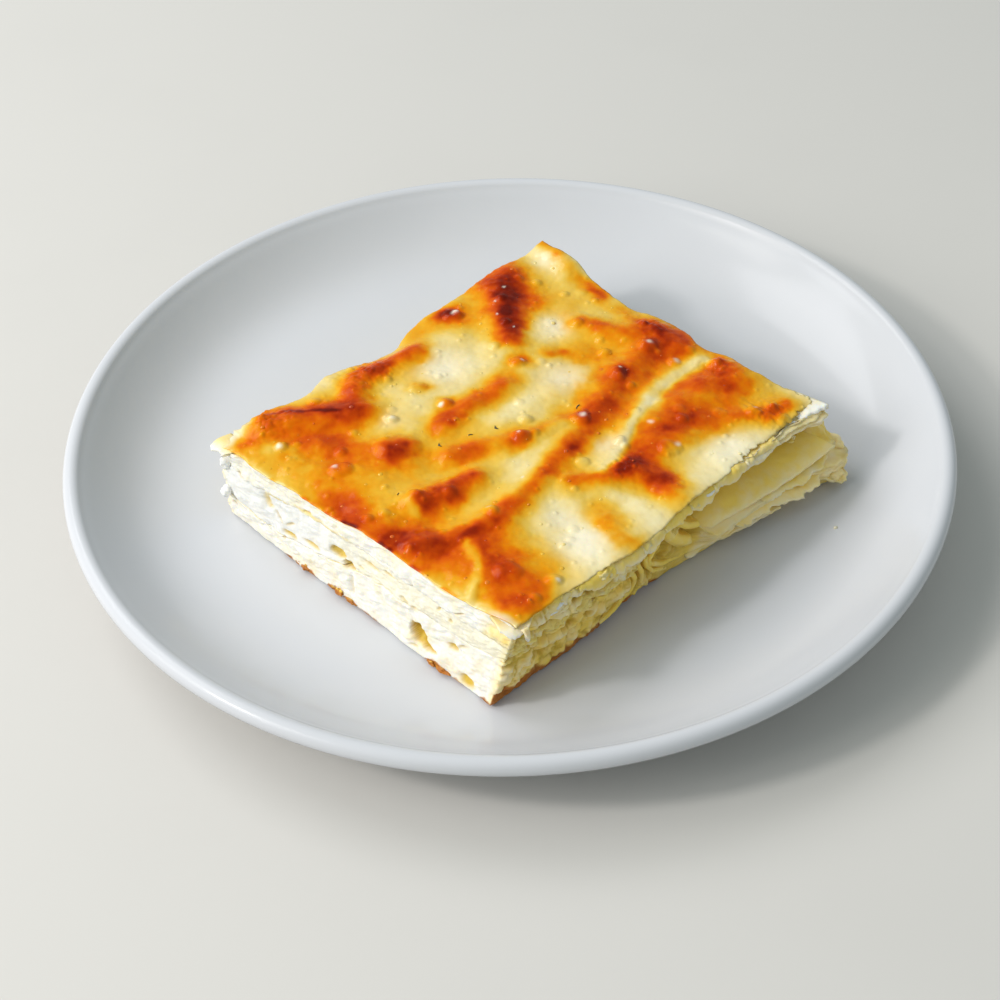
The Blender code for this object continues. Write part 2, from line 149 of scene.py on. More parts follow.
def settle_tree(name, start_mesh, tree, values):
    """Runs a geometry tree on a mesh and returns the result as a plain object."""
    maker = bpy.data.objects.new(name, start_mesh)
    bpy.context.scene.collection.objects.link(maker)
    modifier = maker.modifiers.new("maker", "NODES")
    modifier.node_group = tree
    for item in tree.interface.items_tree:
        if item.item_type == "SOCKET" and item.in_out == "INPUT" and item.name in values:
            modifier[item.identifier] = values[item.name]
    bpy.context.view_layer.update()
    done = maker.evaluated_get(bpy.context.evaluated_depsgraph_get())
    mesh = bpy.data.meshes.new_from_object(done)
    maker.modifiers.remove(modifier)
    maker.data = mesh
    bpy.data.meshes.remove(start_mesh)
    mesh.name = name
    return maker


def face_outwards(piece):
    """Turns the faces of a closed piece outwards."""
    shell = bmesh.new()
    shell.from_mesh(piece.data)
    bmesh.ops.recalc_face_normals(shell, faces=shell.faces[:])
    shell.to_mesh(piece.data)
    shell.free()


def turned_form_tree():
    """Turns an outline, given as the points of a mesh in the XZ plane, about Z."""
    inputs = {"Outline": "Geometry", "Outline Points": "Int", "Turn Steps": "Int"}
    inputs["Finish"] = "Material"
    tree, given = new_group("turned form", "GeometryNodeTree", inputs, {"Form": "Geometry"})
    steps = calculate(tree, "ADD", given["Turn Steps"], 1.0)
    counts = {"Vertices X": given["Outline Points"], "Vertices Y": steps}
    net = new_node(tree, "GeometryNodeMeshGrid", counts).outputs["Mesh"]
    index = tree.nodes.new("GeometryNodeInputIndex").outputs[0]
    point = calculate(tree, "DIVIDE", calculate(tree, "ADD", index, 0.5), steps)
    point = calculate(tree, "FLOOR", point)
    step = calculate(tree, "SUBTRACT", index, calculate(tree, "MULTIPLY", point, steps))
    one_turn = calculate(tree, "DIVIDE", math.tau, given["Turn Steps"])
    turn = calculate(tree, "MULTIPLY", step, one_turn)
    where = tree.nodes.new("GeometryNodeInputPosition").outputs[0]
    sample = new_node(
        tree, "GeometryNodeSampleIndex", {"Geometry": given["Outline"]}, data_type="FLOAT_VECTOR"
    )
    feed(tree, sample, {"Value": where, "Index": point})
    parts = new_node(tree, "ShaderNodeSeparateXYZ", {0: sample.outputs[0]}).outputs
    x = calculate(tree, "MULTIPLY", parts[0], calculate(tree, "COSINE", turn))
    y = calculate(tree, "MULTIPLY", parts[0], calculate(tree, "SINE", turn))
    placed = new_node(tree, "ShaderNodeCombineXYZ", {0: x, 1: y, 2: parts[2]}).outputs[0]
    moves = {"Geometry": net, "Position": placed}
    form = new_node(tree, "GeometryNodeSetPosition", moves).outputs[0]
    merge = {"Geometry": form, "Distance": POLE_MERGE * MM}
    closed = new_node(tree, "GeometryNodeMergeByDistance", merge).outputs[0]
    end_form(tree, "Form", closed, given["Finish"])
    return tree


def arc(middle, radius, start, end, steps):
    """(radius, height) points of a rounded edge, in degrees from level."""
    turns = np.radians(np.linspace(start, end, steps))
    return [(middle[0] + radius * math.cos(t), middle[1] + radius * math.sin(t)) for t in turns]


def smooth_step(value, start, end):
    part = np.clip((value - start) / (end - start), 0.0, 1.0)
    return part * part * (3 - 2 * part)


def plate_outline():
    """The plate's section, from the middle of the well to the middle of the recess."""
    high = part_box("plate")[1]
    plate_radius, plate_height = high[0] / MM, high[2] / MM
    rise_end = plate_radius - PLATE_LIP_ROUND
    lip_middle = plate_height - PLATE_LIP_ROUND
    line = []
    for radius in np.linspace(0, 0.995 * (rise_end - PLATE_LIP_ROUND), WELL_RINGS):
        spread = radius + np.linspace(-1, 1, 21) * WELL_TURN * smooth_step(radius, 60, 75)
        part = np.clip((spread - WELL_RADIUS) / (rise_end - PLATE_LIP_ROUND - WELL_RADIUS), 0, 1.5)
        rise = np.mean(part**RISE_POWER)
        line.append((radius, WELL_HEIGHT + (lip_middle + 0.6 - WELL_HEIGHT) * rise))
    line += arc((rise_end, lip_middle), PLATE_LIP_ROUND, 150, -25, 16)
    start = (rise_end - 1.0, lip_middle - PLATE_LIP_ROUND * 1.35)
    end = (FOOT_OUTER + 2, WELL_HEIGHT - WALL_THICKNESS)
    for part in np.linspace(0, 1, UNDERSIDE_RINGS):
        radius = start[0] + (end[0] - start[0]) * part
        line.append((radius, end[1] + (start[1] - end[1]) * (1 - part) ** 1.75))
    line += arc((FOOT_OUTER - FOOT_EDGE_ROUND, FOOT_EDGE_ROUND), FOOT_EDGE_ROUND, 0, -90, 6)
    line += arc((FOOT_INNER + FOOT_EDGE_ROUND, FOOT_EDGE_ROUND), FOOT_EDGE_ROUND, -90, -180, 6)
    line += [(FOOT_INNER - 1.6, FOOT_RECESS), (FOOT_INNER / 2, FOOT_RECESS), (0.0, FOOT_RECESS)]
    return line


def glazed_porcelain():
    """Clear glaze over white body: faint pooling of tone, soft waviness, bare foot edge."""
    material, tree, shader, place = new_material("glazed porcelain")
    tone = mix_colours(tree, soft_noise(tree, place, 26.0, 3.0), GLAZE_WHITE, GLAZE_SHADE)
    height = new_node(tree, "ShaderNodeSeparateXYZ", {0: place}).outputs[2]
    bare = rescale(tree, height, 0.5 * MM, 0.25 * MM)
    rough = rescale(tree, soft_noise(tree, place, 900.0, 2.0), 0.0, 1.0, 0.12, 0.2)
    rough = calculate(tree, "MAXIMUM", rough, calculate(tree, "MULTIPLY", bare, 0.65))
    finish = {
        "Base Color": mix_colours(tree, bare, tone, BARE_PORCELAIN),
        "Roughness": rough,
        "Normal": fine_relief(tree, soft_noise(tree, place, 60.0, 1.0), 0.25, 0.25),
        "Specular IOR Level": 0.2,
        "IOR": 1.5,
    }
    feed(tree, shader, finish)
    return material


outline = plate_outline()
outline_mesh = bpy.data.meshes.new("plate outline")
outline_mesh.from_pydata([(r * MM, 0.0, z * MM) for r, z in outline], [], [])
plate_sizes = {"Outline Points": len(outline), "Turn Steps": PLATE_TURN_STEPS}
plate_sizes["Finish"] = glazed_porcelain()
plate = settle_tree("dinner_plate", outline_mesh, turned_form_tree(), plate_sizes)
face_outwards(plate)
plate.data.shade_smooth()
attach(plate, "root")
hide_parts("plate")

# ---------------------------------------------------------------- lower sheets
# Boiled dough sheets, buttered and laid wrinkled in the tray, under the cheese. The lowest
# is browned where it met the tin. The knife left their edges stacked like pages; at the
# right-hand end of the front cut the stack has slumped out in a smooth flap.

CRUST_CORNERS = {
    "front": (-56.6, -57.8),
    "right": (47.5, -58.6),
    "back": (50.5, 36.1),
    "left": (-61.0, 36.6),
}
BASE_CORNERS = {
    "front": (-61.0, -53.6),
    "right": (51.5, -58.6),
    "back": (53.0, 38.0),
    "left": (-59.6, 37.9),
}
BASE_HEIGHT = 7.05
CHEESE_BOTTOM, CHEESE_TOP = 20.6, 25.4
CHEESE_LEVEL = 0.6  # of the way from the base's plan to the crust's
CRUST_HEIGHT = 31.3
CRUST_FALL = 1.2
SHEET_GAP = 0.12  # room between one group of sheets and the next

# How far each cut edge strays from its straight line: place along it, spread, distance out.
CRUST_EDGE = {
    "front": [(-19, 12, 1.9), (-47, 7, -0.9), (12, 8, -0.3)],
    "right": [(4, 13, -3.2), (-22, 6, -2.2), (-36, 4, -1.8), (-53, 4, 2.0)],
    "back": [(-35, 6, -2.4), (-9, 9, -3.6), (31, 7, 0.9)],
    "left": [(20, 8, 0.5), (-12, 9, -0.5), (-40, 8, 0.4)],
}
BASE_EDGE = {
    "front": [(-8, 17, -2.2), (24, 8, -0.6), (52, 9, 5.2)],
    "right": [(-58, 9, 2.4), (-20, 12, -1.4), (14, 10, -0.8)],
    "back": [(-30, 12, -1.0), (10, 12, -1.4)],
    "left": [(8, 14, 0.5), (-28, 10, 0.6)],
}
EDGE_REACH = 8  # the strays die away within about an eighth of the slice

CUT_COLUMNS, CUT_ROWS = 320, 288  # steps along the cuts, a third of a millimetre each
CORNER_SOFTNESS = 7  # steps over which a cut corner turns
SHEET_PITCH = 1.35  # of the sheets' edges in the cut
CAP_STEP = 4
CAP_INSET = {"left": 0.06, "right": 0.13, "front": 0.15, "back": 0.07}
UNDER_CRUST_INSET = {"left": 0.075, "right": 0.09, "front": 0.085, "back": 0.10}

FLAP_START, FLAP_FULL = 2.0, 10.0
FLAP_RIGHT_END, FLAP_RIGHT_FADE = -52.0, -36.0
FLAP_TOP = 24.6
FLAP_THICKNESS = 1.4
FLAP_EDGE_DROP = 7.6
FLAP_EDGE_OUT = 4.2
LOWER_WALL_TURNS = 42
FLAP_TURNS = (0.7, 1.6, 3.0, 4.5, 6.0, 7.5, 9.0, 11.0, 13.0)  # distances in from the cut

# Holes, hollows and lumps of the cuts: side, place along it, height, half-length,
# half-height, distance outwards.
CUT_RELIEF = [
    ("left", -30, 13.5, 2.6, 2.6, -3.4),
    ("left", -33.5, 11.2, 2.4, 1.3, -2.6),
    ("left", -3, 20.5, 2.6, 1.5, -2.0),
    ("left", -6.5, 18.6, 1.9, 1.3, -2.4),
    ("left", -14, 23.0, 2.6, 0.8, -1.2),
    ("left", -20, 24.2, 1.7, 0.5, -1.4),
    ("left", 30, 20.0, 8.0, 6.0, 1.0),
    ("left", 21, 22.5, 1.6, 3.0, -0.9),
    ("left", 14.5, 15.3, 1.9, 0.9, -1.3),
    ("left", 6.0, 17.0, 2.6, 0.6, -0.9),
    ("left", -41, 16.0, 1.6, 0.8, -1.2),
    ("left", -46, 9.5, 2.4, 1.5, -1.5),
    ("left", -7.5, 13.0, 1.0, 4.5, -0.7),
    ("left", -22, 19.5, 9.0, 2.2, 0.6),
    ("front", -49, 28.6, 3.4, 1.6, 1.4),
    ("front", -41.5, 26.0, 3.6, 2.0, 1.5),
    ("front", -45.5, 25.0, 2.2, 1.0, -2.2),
    ("front", -37.6, 28.0, 2.0, 1.3, -2.8),
    ("front", -48, 21.0, 3.2, 1.2, -1.6),
    ("front", -38, 18.0, 2.4, 1.0, -1.6),
    ("front", -30, 26.5, 4.0, 2.0, -2.8),
    ("front", -43, 15.0, 5.0, 1.1, -1.2),
    ("front", -55, 16.0, 4.0, 4.0, 0.7),
    ("front", -52, 12.2, 3.0, 0.6, -1.0),
    ("front", -16, 17.0, 2.4, 5.0, -2.6),
    ("front", -10, 21.0, 6.0, 6.0, -2.6),
    ("front", 2, 20.0, 4.0, 5.0, -1.6),
    ("front", 46, 11.0, 5.0, 3.0, 1.4),
    ("right", -50, 11.0, 5.0, 3.0, 1.6),
    ("right", -24, 17.0, 6.0, 3.0, -1.4),
    ("right", 8, 20.0, 7.0, 3.0, -1.2),
    ("right", -8, 24.0, 3.0, 1.3, -1.6),
    ("back", -30, 18.0, 7.0, 3.0, -1.4),
    ("back", 14, 14.0, 7.0, 3.0, 1.0),
    ("back", 30, 22.0, 3.4, 1.6, -1.8),
]
# Browned patches of the lowest sheet: side, middle, half-length, height of the brown.
SCORCHED_BASE = [
    ("front", -58.0, 5.4, 4.6),
    ("front", -49.0, 8.0, 2.6),
    ("front", -38.0, 9.0, 2.5),
    ("front", -27.0, 8.0, 2.8),
    ("front", -18.0, 5.0, 2.4),
    ("front", -9.0, 5.0, 1.8),
    ("left", 15.0, 2.2, 0.9),
    ("left", 7.5, 2.4, 1.6),
    ("left", -1.0, 3.0, 1.7),
    ("left", -5.5, 1.6, 1.2),
    ("left", -13.0, 5.0, 0.9),
    ("left", -36.0, 4.0, 1.6),
    ("left", -43.0, 2.6, 0.9),
    ("left", -52.0, 2.2, 1.3),
    ("right", 20.0, 9.0, 1.6),
    ("right", -14.0, 5.0, 1.2),
    ("right", -34.0, 7.0, 1.8),
    ("back", -40.0, 7.0, 1.5),
    ("back", -8.0, 10.0, 1.9),
    ("back", 28.0, 6.0, 1.3),
]
PIT_COUNT = 75
# Where a cut sheet shows yellow through the milky cut: side, place, height, half sizes.
YELLOW_PATCHES = [
    ("left", -53.8, 27.0, 4.0, 3.4),
    ("left", -51.0, 25.0, 1.6, 2.4),
    ("left", -6.0, 19.0, 3.0, 1.6),
    ("left", -31.0, 12.5, 3.4, 2.6),
    ("left", 16.0, 25.5, 5.0, 0.8),
    ("left", 2.0, 26.5, 9.0, 0.6),
]
# Dough colours: the saturated yellow paints the cream dough as it looks in shade, on the cuts facing
# away from the light; the olive one paints the deeper shade in holes, creases and under the crust.
SHADED_DOUGH_YELLOW = (0.96, 0.68, 0.13, 1.0)
BOILED_DOUGH_PALE = (0.88, 0.855, 0.775, 1.0)
DOUGH_PAINTED_SHADE = (0.66, 0.45, 0.06, 1.0)
SCORCH_LIGHT = (0.66, 0.24, 0.03, 1.0)
SCORCH_DARK = (0.15, 0.045, 0.012, 1.0)

noise_tables = {}


def one_cloud(x, y, size, seed, around=None):
    """Smooth random values between -1 and 1; x repeats after `around`, if given."""
    if seed not in noise_tables:
        noise_tables[seed] = np.random.default_rng(seed).random((128, 128))
    table = noise_tables[seed]
    if around:
        cells = max(2, round(around / size))
        x = np.asarray(x) * cells / around
    else:
        cells = 128
        x = np.asarray(x) / size + 500.3
    y = np.asarray(y) / size + 500.7
    column, row = np.floor(x).astype(int), np.floor(y).astype(int)
    across, up = x - column, y - row
    across = across**3 * (across * (across * 6 - 15) + 10)
    up = up**3 * (up * (up * 6 - 15) + 10)

    def corner(i, j):
        return table[(i % cells) % 128, j % 128]

    low = corner(column, row) * (1 - across) + corner(column + 1, row) * across
    high = corner(column, row + 1) * (1 - across) + corner(column + 1, row + 1) * across
    return (low * (1 - up) + high * up) * 2 - 1


def clouds(x, y, size, octaves, seed, around=None):
    """Unevenness between -1 and 1 with finer unevenness on it."""
    total, weight, share = 0.0, 0.0, 1.0
    for octave in range(octaves):
        shift = 0 if around else 17 * octave
        finer = size / 2**octave
        total = total + share * one_cloud(x + shift, y - 9 * octave, finer, seed, around)
        weight += share
        share *= 0.5
    return total / weight


def hump(place, middle, spread, power=2):
    """1 at the middle, dying away over the spread."""
    return np.exp(-(((place - middle) / spread) ** power))


def stray(bumps, place):
    """Sum of the named strays of a cut edge, at a place along it."""
    total = np.zeros(np.shape(place))
    for middle, spread, distance in bumps:
        total += distance * hump(place, middle, spread)
    return total


def plan_at(u, v, corners, edges):
    """(x, y) at u of the way from left to right and v from front to back."""
    front, right = np.array(corners["front"]), np.array(corners["right"])
    left, back = np.array(corners["left"]), np.array(corners["back"])
    u, v = u[..., None], v[..., None]
    point = (front * (1 - u) + right * u) * (1 - v) + (left * (1 - u) + back * u) * v
    x, y = point[..., 0].copy(), point[..., 1].copy()
    u, v = u[..., 0], v[..., 0]
    y_shift = stray(edges["back"], x) * v**EDGE_REACH
    y_shift -= stray(edges["front"], x) * (1 - v) ** EDGE_REACH
    x_shift = stray(edges["right"], y) * u**EDGE_REACH
    x_shift -= stray(edges["left"], y) * (1 - u) ** EDGE_REACH
    return x + x_shift, y + y_shift


def plan(u, v, level):
    """(x, y) at a level between the base, 0, and the crust, 1."""
    x0, y0 = plan_at(u, v, BASE_CORNERS, BASE_EDGE)
    x1, y1 = plan_at(u, v, CRUST_CORNERS, CRUST_EDGE)
    return x0 + (x1 - x0) * level, y0 + (y1 - y0) * level


class Walk:
    """The points round the cut, anticlockwise from the front corner."""

    def __init__(self, columns, rows):
        self.columns, self.rows = columns, rows
        along, up = np.arange(columns) / columns, np.arange(rows) / rows
        self.u = np.concatenate([along, np.ones(rows), 1 - along, np.zeros(rows)])
        self.v = np.concatenate([np.zeros(columns), up, np.ones(columns), 1 - up])
        self.count = len(self.u)
        names = ["front"] * columns + ["right"] * rows + ["back"] * columns + ["left"] * rows
        self.side = np.array(names)
        share = {name: self.soften(1.0 * (self.side == name)) for name in BASE_CORNERS}
        out = np.stack([share["right"] - share["left"], share["back"] - share["front"]], -1)
        self.out = out / np.linalg.norm(out, axis=1)[:, None]
        self.share = share
        x, y = plan(self.u, self.v, 0.5)
        steps = np.hypot(np.roll(x, -1) - x, np.roll(y, -1) - y)
        self.far = np.concatenate([[0.0], np.cumsum(steps)[:-1]])
        self.length = steps.sum()

    def soften(self, values):
        """Running mean over the turn of a corner."""
        total = np.zeros(len(values))
        for step in range(-CORNER_SOFTNESS, CORNER_SOFTNESS + 1):
            total += np.roll(values, step)
        return total / (2 * CORNER_SOFTNESS + 1)

    def place(self, z):
        """(x, y) of the cut at heights z."""
        level = np.clip((z - BASE_HEIGHT) / (CRUST_HEIGHT - BASE_HEIGHT), 0.0, 1.0)
        return plan(self.u + 0 * z, self.v + 0 * z, level)

    def ring(self, z, out):
        """(x, y, z) of one turn round the slice at heights z, pushed outwards."""
        x, y = self.place(z)
        for line in (x, y):
            line[:] = (np.roll(line, 1) + np.roll(line, -1) + 2 * line) / 4
        return np.column_stack([x + self.out[:, 0] * out, y + self.out[:, 1] * out, z])

    def inset(self, distance, height, level=CHEESE_LEVEL):
        """A turn at a distance in from the cut, at the heights of a surface."""
        x, y = plan(self.u, self.v, level)
        x = x - self.out[:, 0] * distance
        y = y - self.out[:, 1] * distance
        return np.column_stack([x, y, height(x, y)])

    def clouds(self, up, size, octaves, seed, shift=0.0):
        """Unevenness between -1 and 1 that joins up with itself round the cut."""
        return clouds(self.far + 0 * up + shift, up, size, octaves, seed, self.length)

    def flap(self):
        """How much of the flap's slope each point has, 0 to 1."""
        x, y = plan(self.u, self.v, 0.5)
        front = smooth_step(x, FLAP_START, FLAP_FULL) * (self.side == "front")
        right = 1 - smooth_step(y, FLAP_RIGHT_END, FLAP_RIGHT_FADE)
        return front + right * (self.side == "right")


def cheese_top(x, y):
    return CHEESE_TOP + 0.5 * np.sin(x / 17) * np.cos(y / 21)


def cheese_bottom(x, y):
    """Underside of the cheese: low along the left cut, high under the flap's root."""
    thick = 7.2 * np.exp(-(((x + 62) / 44) ** 2) - ((y - 20) / 28) ** 2)
    rise = smooth_step(x, -12, 34) * (1 - smooth_step(y, -40, 14))
    return CHEESE_BOTTOM - thick + (FLAP_TOP - FLAP_THICKNESS - CHEESE_BOTTOM) * rise


def cheese_wander(walk, seed):
    """How the cut edge of the cheese wanders up and down along the cut."""
    return 0.9 * walk.clouds(0.0, 13.0, 3, seed)


def flat_base(x, y):
    return np.full(x.shape, BASE_HEIGHT)


def base_height(x, y):
    """Underside of the base: flat on the plate, lifted a little along the front cut."""
    lift = 1.2 * hump(x, -17, 9) + 0.8 * hump(x, 30, 9)
    return BASE_HEIGHT + lift * (1 - smooth_step(y, -56, -50))


def under_cheese(x, y):
    return cheese_bottom(x, y) - SHEET_GAP


def named_relief(walk, z, x, y):
    """Distance outwards of the named holes, hollows and lumps of the cuts."""
    out = np.zeros(z.shape)
    wobble = 0.5 * walk.clouds(z, 2.2, 2, 71)
    for side, place, height, half_length, half_height, distance in CUT_RELIEF:
        along = x if side in ("front", "back") else y
        far = ((along - place) / half_length) ** 2 + ((z - height) / half_height) ** 2
        sharp = 3.0 if distance < -1.5 else 1.5
        dent = np.exp(-(np.maximum(far * (1 + wobble), 0) ** sharp))
        out += distance * dent * (walk.side == side)
    return out


def sheet_edges(walk, z, thickness, seed):
    """Offset of the sheets' cut edges, and how far a point is into a crease."""
    wave = 1.5 * walk.clouds(z * 0.6, 24.0, 2, seed) + 0.5 * walk.clouds(z, 7.0, 2, seed + 1)
    stack = (z + wave) / thickness
    stack = stack + 0.3 * np.sin(stack * 2.3)
    sheet = np.floor(stack)
    part = stack - sheet
    edge = 0.55 * walk.clouds(9.1 * sheet, 10.0, 3, seed + 2, 31.7 * sheet)
    border = sheet + (part > 0.5)
    opening = walk.clouds(5.7 * border, 13.0, 2, seed + 3, 17.3 * border)
    opening = np.clip(0.3 + 1.5 * opening, 0.0, 1.0)
    near = np.minimum(part, 1 - part) * thickness
    crease = hump(near, 0, 0.27) * opening
    rounding = 0.22 * (1 - 4 * part * (1 - part)) ** 2
    return edge - rounding - 1.1 * crease, crease


def billows(walk, z, size, seed):
    """Rounded swells of soft dough, about -0.5 to 1, and the sharp valleys between them."""
    bend = 0.6 * size * walk.clouds(z, 2.4 * size, 2, seed + 1)
    swell = walk.clouds(1.5 * z + bend, size, 2, seed)
    return 2.4 * np.abs(swell) - 0.5, hump(swell, 0, 0.07)


def fibres(walk, z):
    """Fine strands that the knife drew out along the cut, about -0.4 to 1."""
    bend = 1.5 * walk.clouds(z, 6.0, 2, 46)
    return 2.2 * np.abs(walk.clouds(2.8 * (z + bend), 4.0, 4, 47)) - 0.4


def small_pits(walk, z):
    """Depth share of the little holes that the cooked dough and cheese are full of."""
    draw = np.random.default_rng(23)
    deep = np.zeros(z.shape)
    for _ in range(PIT_COUNT):
        place, height = draw.uniform(0, walk.length), draw.uniform(9, 28)
        long, tall = draw.uniform(0.4, 1.3), draw.uniform(0.3, 0.6)
        lean = draw.uniform(-1.0, 1.0)
        near = np.abs(walk.far - place) < 5
        gap = walk.far[near] - place + 0 * z[:, near]
        up = z[:, near] - height - lean * gap
        share = np.exp(-(((gap / long) ** 2 + (up / tall) ** 2) ** 2))
        deep[:, near] = np.maximum(deep[:, near], draw.uniform(0.5, 1.0) * share)
    return deep


def cut_surface(walk, z, strength, seed):
    """Offset outwards of a cut side at heights z, and how much painted shade each point gets in its
    holes, creases and clefts.
    """
    x, y = walk.place(z)
    left, front = walk.share["left"], walk.share["front"]
    sides = walk.share["right"] + walk.share["back"]
    stacked = 0.12 * left + 0.75 * sides + front * (0.25 + 0.75 * smooth_step(x, -24, 4))
    soft = 0.3 * left + 0.5 * sides + front * (1 - 0.9 * smooth_step(x, -12, 2))
    sheets, crease = sheet_edges(walk, z, SHEET_PITCH, seed)
    lumps, valley = billows(walk, z, 8.0, 33)
    crumbs, chink = billows(walk, z, 2.6, 36)
    fine = billows(walk, z, 1.1, 39)[0]
    swell = 0.5 * walk.clouds(z * 1.5, 12.0, 3, 44)
    named = named_relief(walk, z, x, y)
    pits = small_pits(walk, z) * (0.3 + 0.7 * (left + front * (x < 0)))
    out = sheets * strength * stacked + swell + named - (1.5 - 0.6 * left) * pits
    strands = (0.28 + 0.17 * front) * fibres(walk, z)
    out += soft * (1.1 * lumps + 0.5 * crumbs + 0.22 * fine) + strands
    painted_shade = np.clip(-(swell + named + 0.35), 0, 1) ** 0.7
    painted_shade += (1.1 - 0.5 * left) * np.sqrt(pits)
    painted_shade += 0.5 * crease * strength * stacked
    clefts = front * (1.1 * valley + 0.7 * chink) + left * 0.10 * valley
    painted_shade += soft * (clefts + sides * 0.3 * valley)
    # Painted shade over the front cut behind the pleats.
    painted_shade += 0.7 * front * hump(x, -8, 11, 4)
    return out, np.clip(painted_shade, 0, 1)


def yellow_dough(walk, z, y):
    """How much of the yellow patches each point of the left cut has, 0 to 1."""
    total = np.zeros(z.shape)
    for side, place, height, half_length, half_height in YELLOW_PATCHES:
        far = ((y - place) / half_length) ** 2 + ((z - height) / half_height) ** 2
        total = np.maximum(total, np.exp(-(far**2)) * (walk.side == side))
    return total


def paleness_and_painted_light(walk, z, y, out):
    """How pale each point of the cut is. The left cut is palest, partly its own cheesy tone and
    partly painted light on the side facing the lamp; the front crests are paler as a painted
    highlight.
    """
    pale = 0.08 + 0.87 * walk.share["left"] * (1 - 0.66 * yellow_dough(walk, z, y))
    pale = pale + 0.3 * (walk.share["back"] + walk.share["right"])
    return pale + 0.32 * walk.share["front"] * smooth_step(out, 0.3, 1.5)


def scorch(walk, z, x, y, bottom):
    """How browned the lowest sheet is, 0 to 1, by the named patches."""
    total = np.zeros(z.shape)
    fray = walk.clouds(z, 1.6, 3, 81)
    for side, middle, half_length, height in SCORCHED_BASE:
        along = x if side in ("front", "back") else y
        reach = height * np.clip(1.15 - ((along - middle) / half_length) ** 2, 0, None)
        share = smooth_step(reach - (z - bottom) + 0.55 * fray, -0.25, 0.45)
        total = np.maximum(total, share * (reach > 0) * (walk.side == side))
    return total


def net_of(columns, rows, first):
    """Quads of a net of points in rows, and its border anticlockwise from the first point."""

    def at(column, row):
        return first + row * (columns + 1) + column

    faces = []
    for row in range(rows):
        for column in range(columns):
            a, b = at(column, row), at(column + 1, row)
            c, d = at(column + 1, row + 1), at(column, row + 1)
            faces.append((a, b, c, d))
    border = [at(step, 0) for step in range(columns)]
    border += [at(columns, step) for step in range(rows)]
    border += [at(columns - step, rows) for step in range(columns)]
    border += [at(0, rows - step) for step in range(rows)]
    return faces, border


def band_faces(lower, upper):
    """Quads between two closed turns of points."""
    faces = []
    for step in range(len(lower)):
        after = (step + 1) % len(lower)
        faces.append((lower[step], lower[after], upper[after], upper[step]))
    return faces


def coarse_cap(walk, points, ring_start, upward, level, height, inset=CAP_INSET):
    """Closes a turn with a coarse net of CAP_STEP times fewer points."""
    columns, rows = walk.columns // CAP_STEP, walk.rows // CAP_STEP
    u = np.linspace(inset["left"], 1 - inset["right"], columns + 1)
    v = np.linspace(inset["front"], 1 - inset["back"], rows + 1)
    x, y = plan(*np.meshgrid(u, v), level)
    net, inner = net_of(columns, rows, len(points))
    points.extend(np.stack([x, y, height(x, y)], -1).reshape(-1, 3))
    faces = []
    for step, here in enumerate(inner):
        beyond = inner[(step + 1) % len(inner)]
        ring = [ring_start + (CAP_STEP * step + k) % walk.count for k in range(CAP_STEP + 1)]
        half = CAP_STEP // 2
        faces += [(ring[k], ring[k + 1], here) for k in range(half)]
        faces.append((ring[half], beyond, here))
        faces += [(ring[k], ring[k + 1], beyond) for k in range(half, CAP_STEP)]
    faces += net
    return faces if upward else [face[::-1] for face in faces]


def close_skin(rings, bottom, top):
    """Points and faces of turns that follow each other upwards, with a cap at each end."""
    points = [point for ring in rings for point in ring]
    starts = [number * walk.count for number in range(len(rings))]
    turns = [range(start, start + walk.count) for start in starts]
    faces = []
    for lower, upper in zip(turns[:-1], turns[1:]):
        faces += band_faces(lower, upper)
    faces += coarse_cap(walk, points, 0, False, *bottom)
    faces += coarse_cap(walk, points, starts[-1], True, *top)
    return points, faces


def add_piece(name, points, faces, material, marks):
    """A piece of the slice from millimetre points, with its per-point marks."""
    mesh = bpy.data.meshes.new(name)
    mesh.from_pydata((np.array(points) * MM).tolist(), [], faces)
    for mark, values in marks.items():
        full = np.zeros(len(points), dtype=np.float32)
        full[: len(values)] = values
        layer = mesh.attributes.new(mark, "FLOAT", "POINT")
        layer.data.foreach_set("value", full)
    mesh.shade_smooth()
    mesh.materials.append(material)
    piece = bpy.data.objects.new(name, mesh)
    bpy.context.scene.collection.objects.link(piece)
    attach(piece, "root")
    return piece


def dough_grain_group():
    """Fine grain of dough and curd: a mottle for colours and a height for a relief."""
    inputs = {"Place": "Vector", "Grain Size": "Float"}
    outputs = {"Mottle": "Float", "Height": "Float"}
    tree, given = new_group("dough grain", "ShaderNodeTree", inputs, outputs)
    place = given["Place"]
    scale = calculate(tree, "DIVIDE", 1 / MM, given["Grain Size"])
    mottle = soft_noise(tree, place, calculate(tree, "MULTIPLY", scale, 0.28), 3.0)
    fine = soft_noise(tree, place, scale, 4.0, 0.6)
    spacing = {"Vector": place, "Scale": calculate(tree, "MULTIPLY", scale, 0.7)}
    cells = new_node(tree, "ShaderNodeTexVoronoi", spacing, feature="SMOOTH_F1")
    pits = calculate(tree, "MULTIPLY", cells.outputs["Distance"], 0.5)
    height = calculate(tree, "MULTIPLY_ADD", fine, 0.7, pits)
    new_node(tree, "NodeGroupOutput", {"Mottle": mottle, "Height": height})
    return tree


dough_grain = dough_grain_group()


def grain_of(tree, place, size):
    """The dough grain at a material's own size in millimetres."""
    node = new_node(tree, "ShaderNodeGroup", node_tree=dough_grain)
    feed(tree, node, {"Place": place, "Grain Size": size})
    return node.outputs


def mark_of(tree, name):
    """A per-point mark of the piece, as a value."""
    return new_node(tree, "ShaderNodeAttribute", attribute_name=name).outputs["Fac"]


def moist_body(weight, tint, depth, bend):
    """Shader values of a body that lets light in a few millimetres; bend is its IOR."""
    return {
        "Subsurface Weight": weight,
        "Subsurface Radius": tint,
        "Subsurface Scale": depth * MM,
        "IOR": bend,
    }


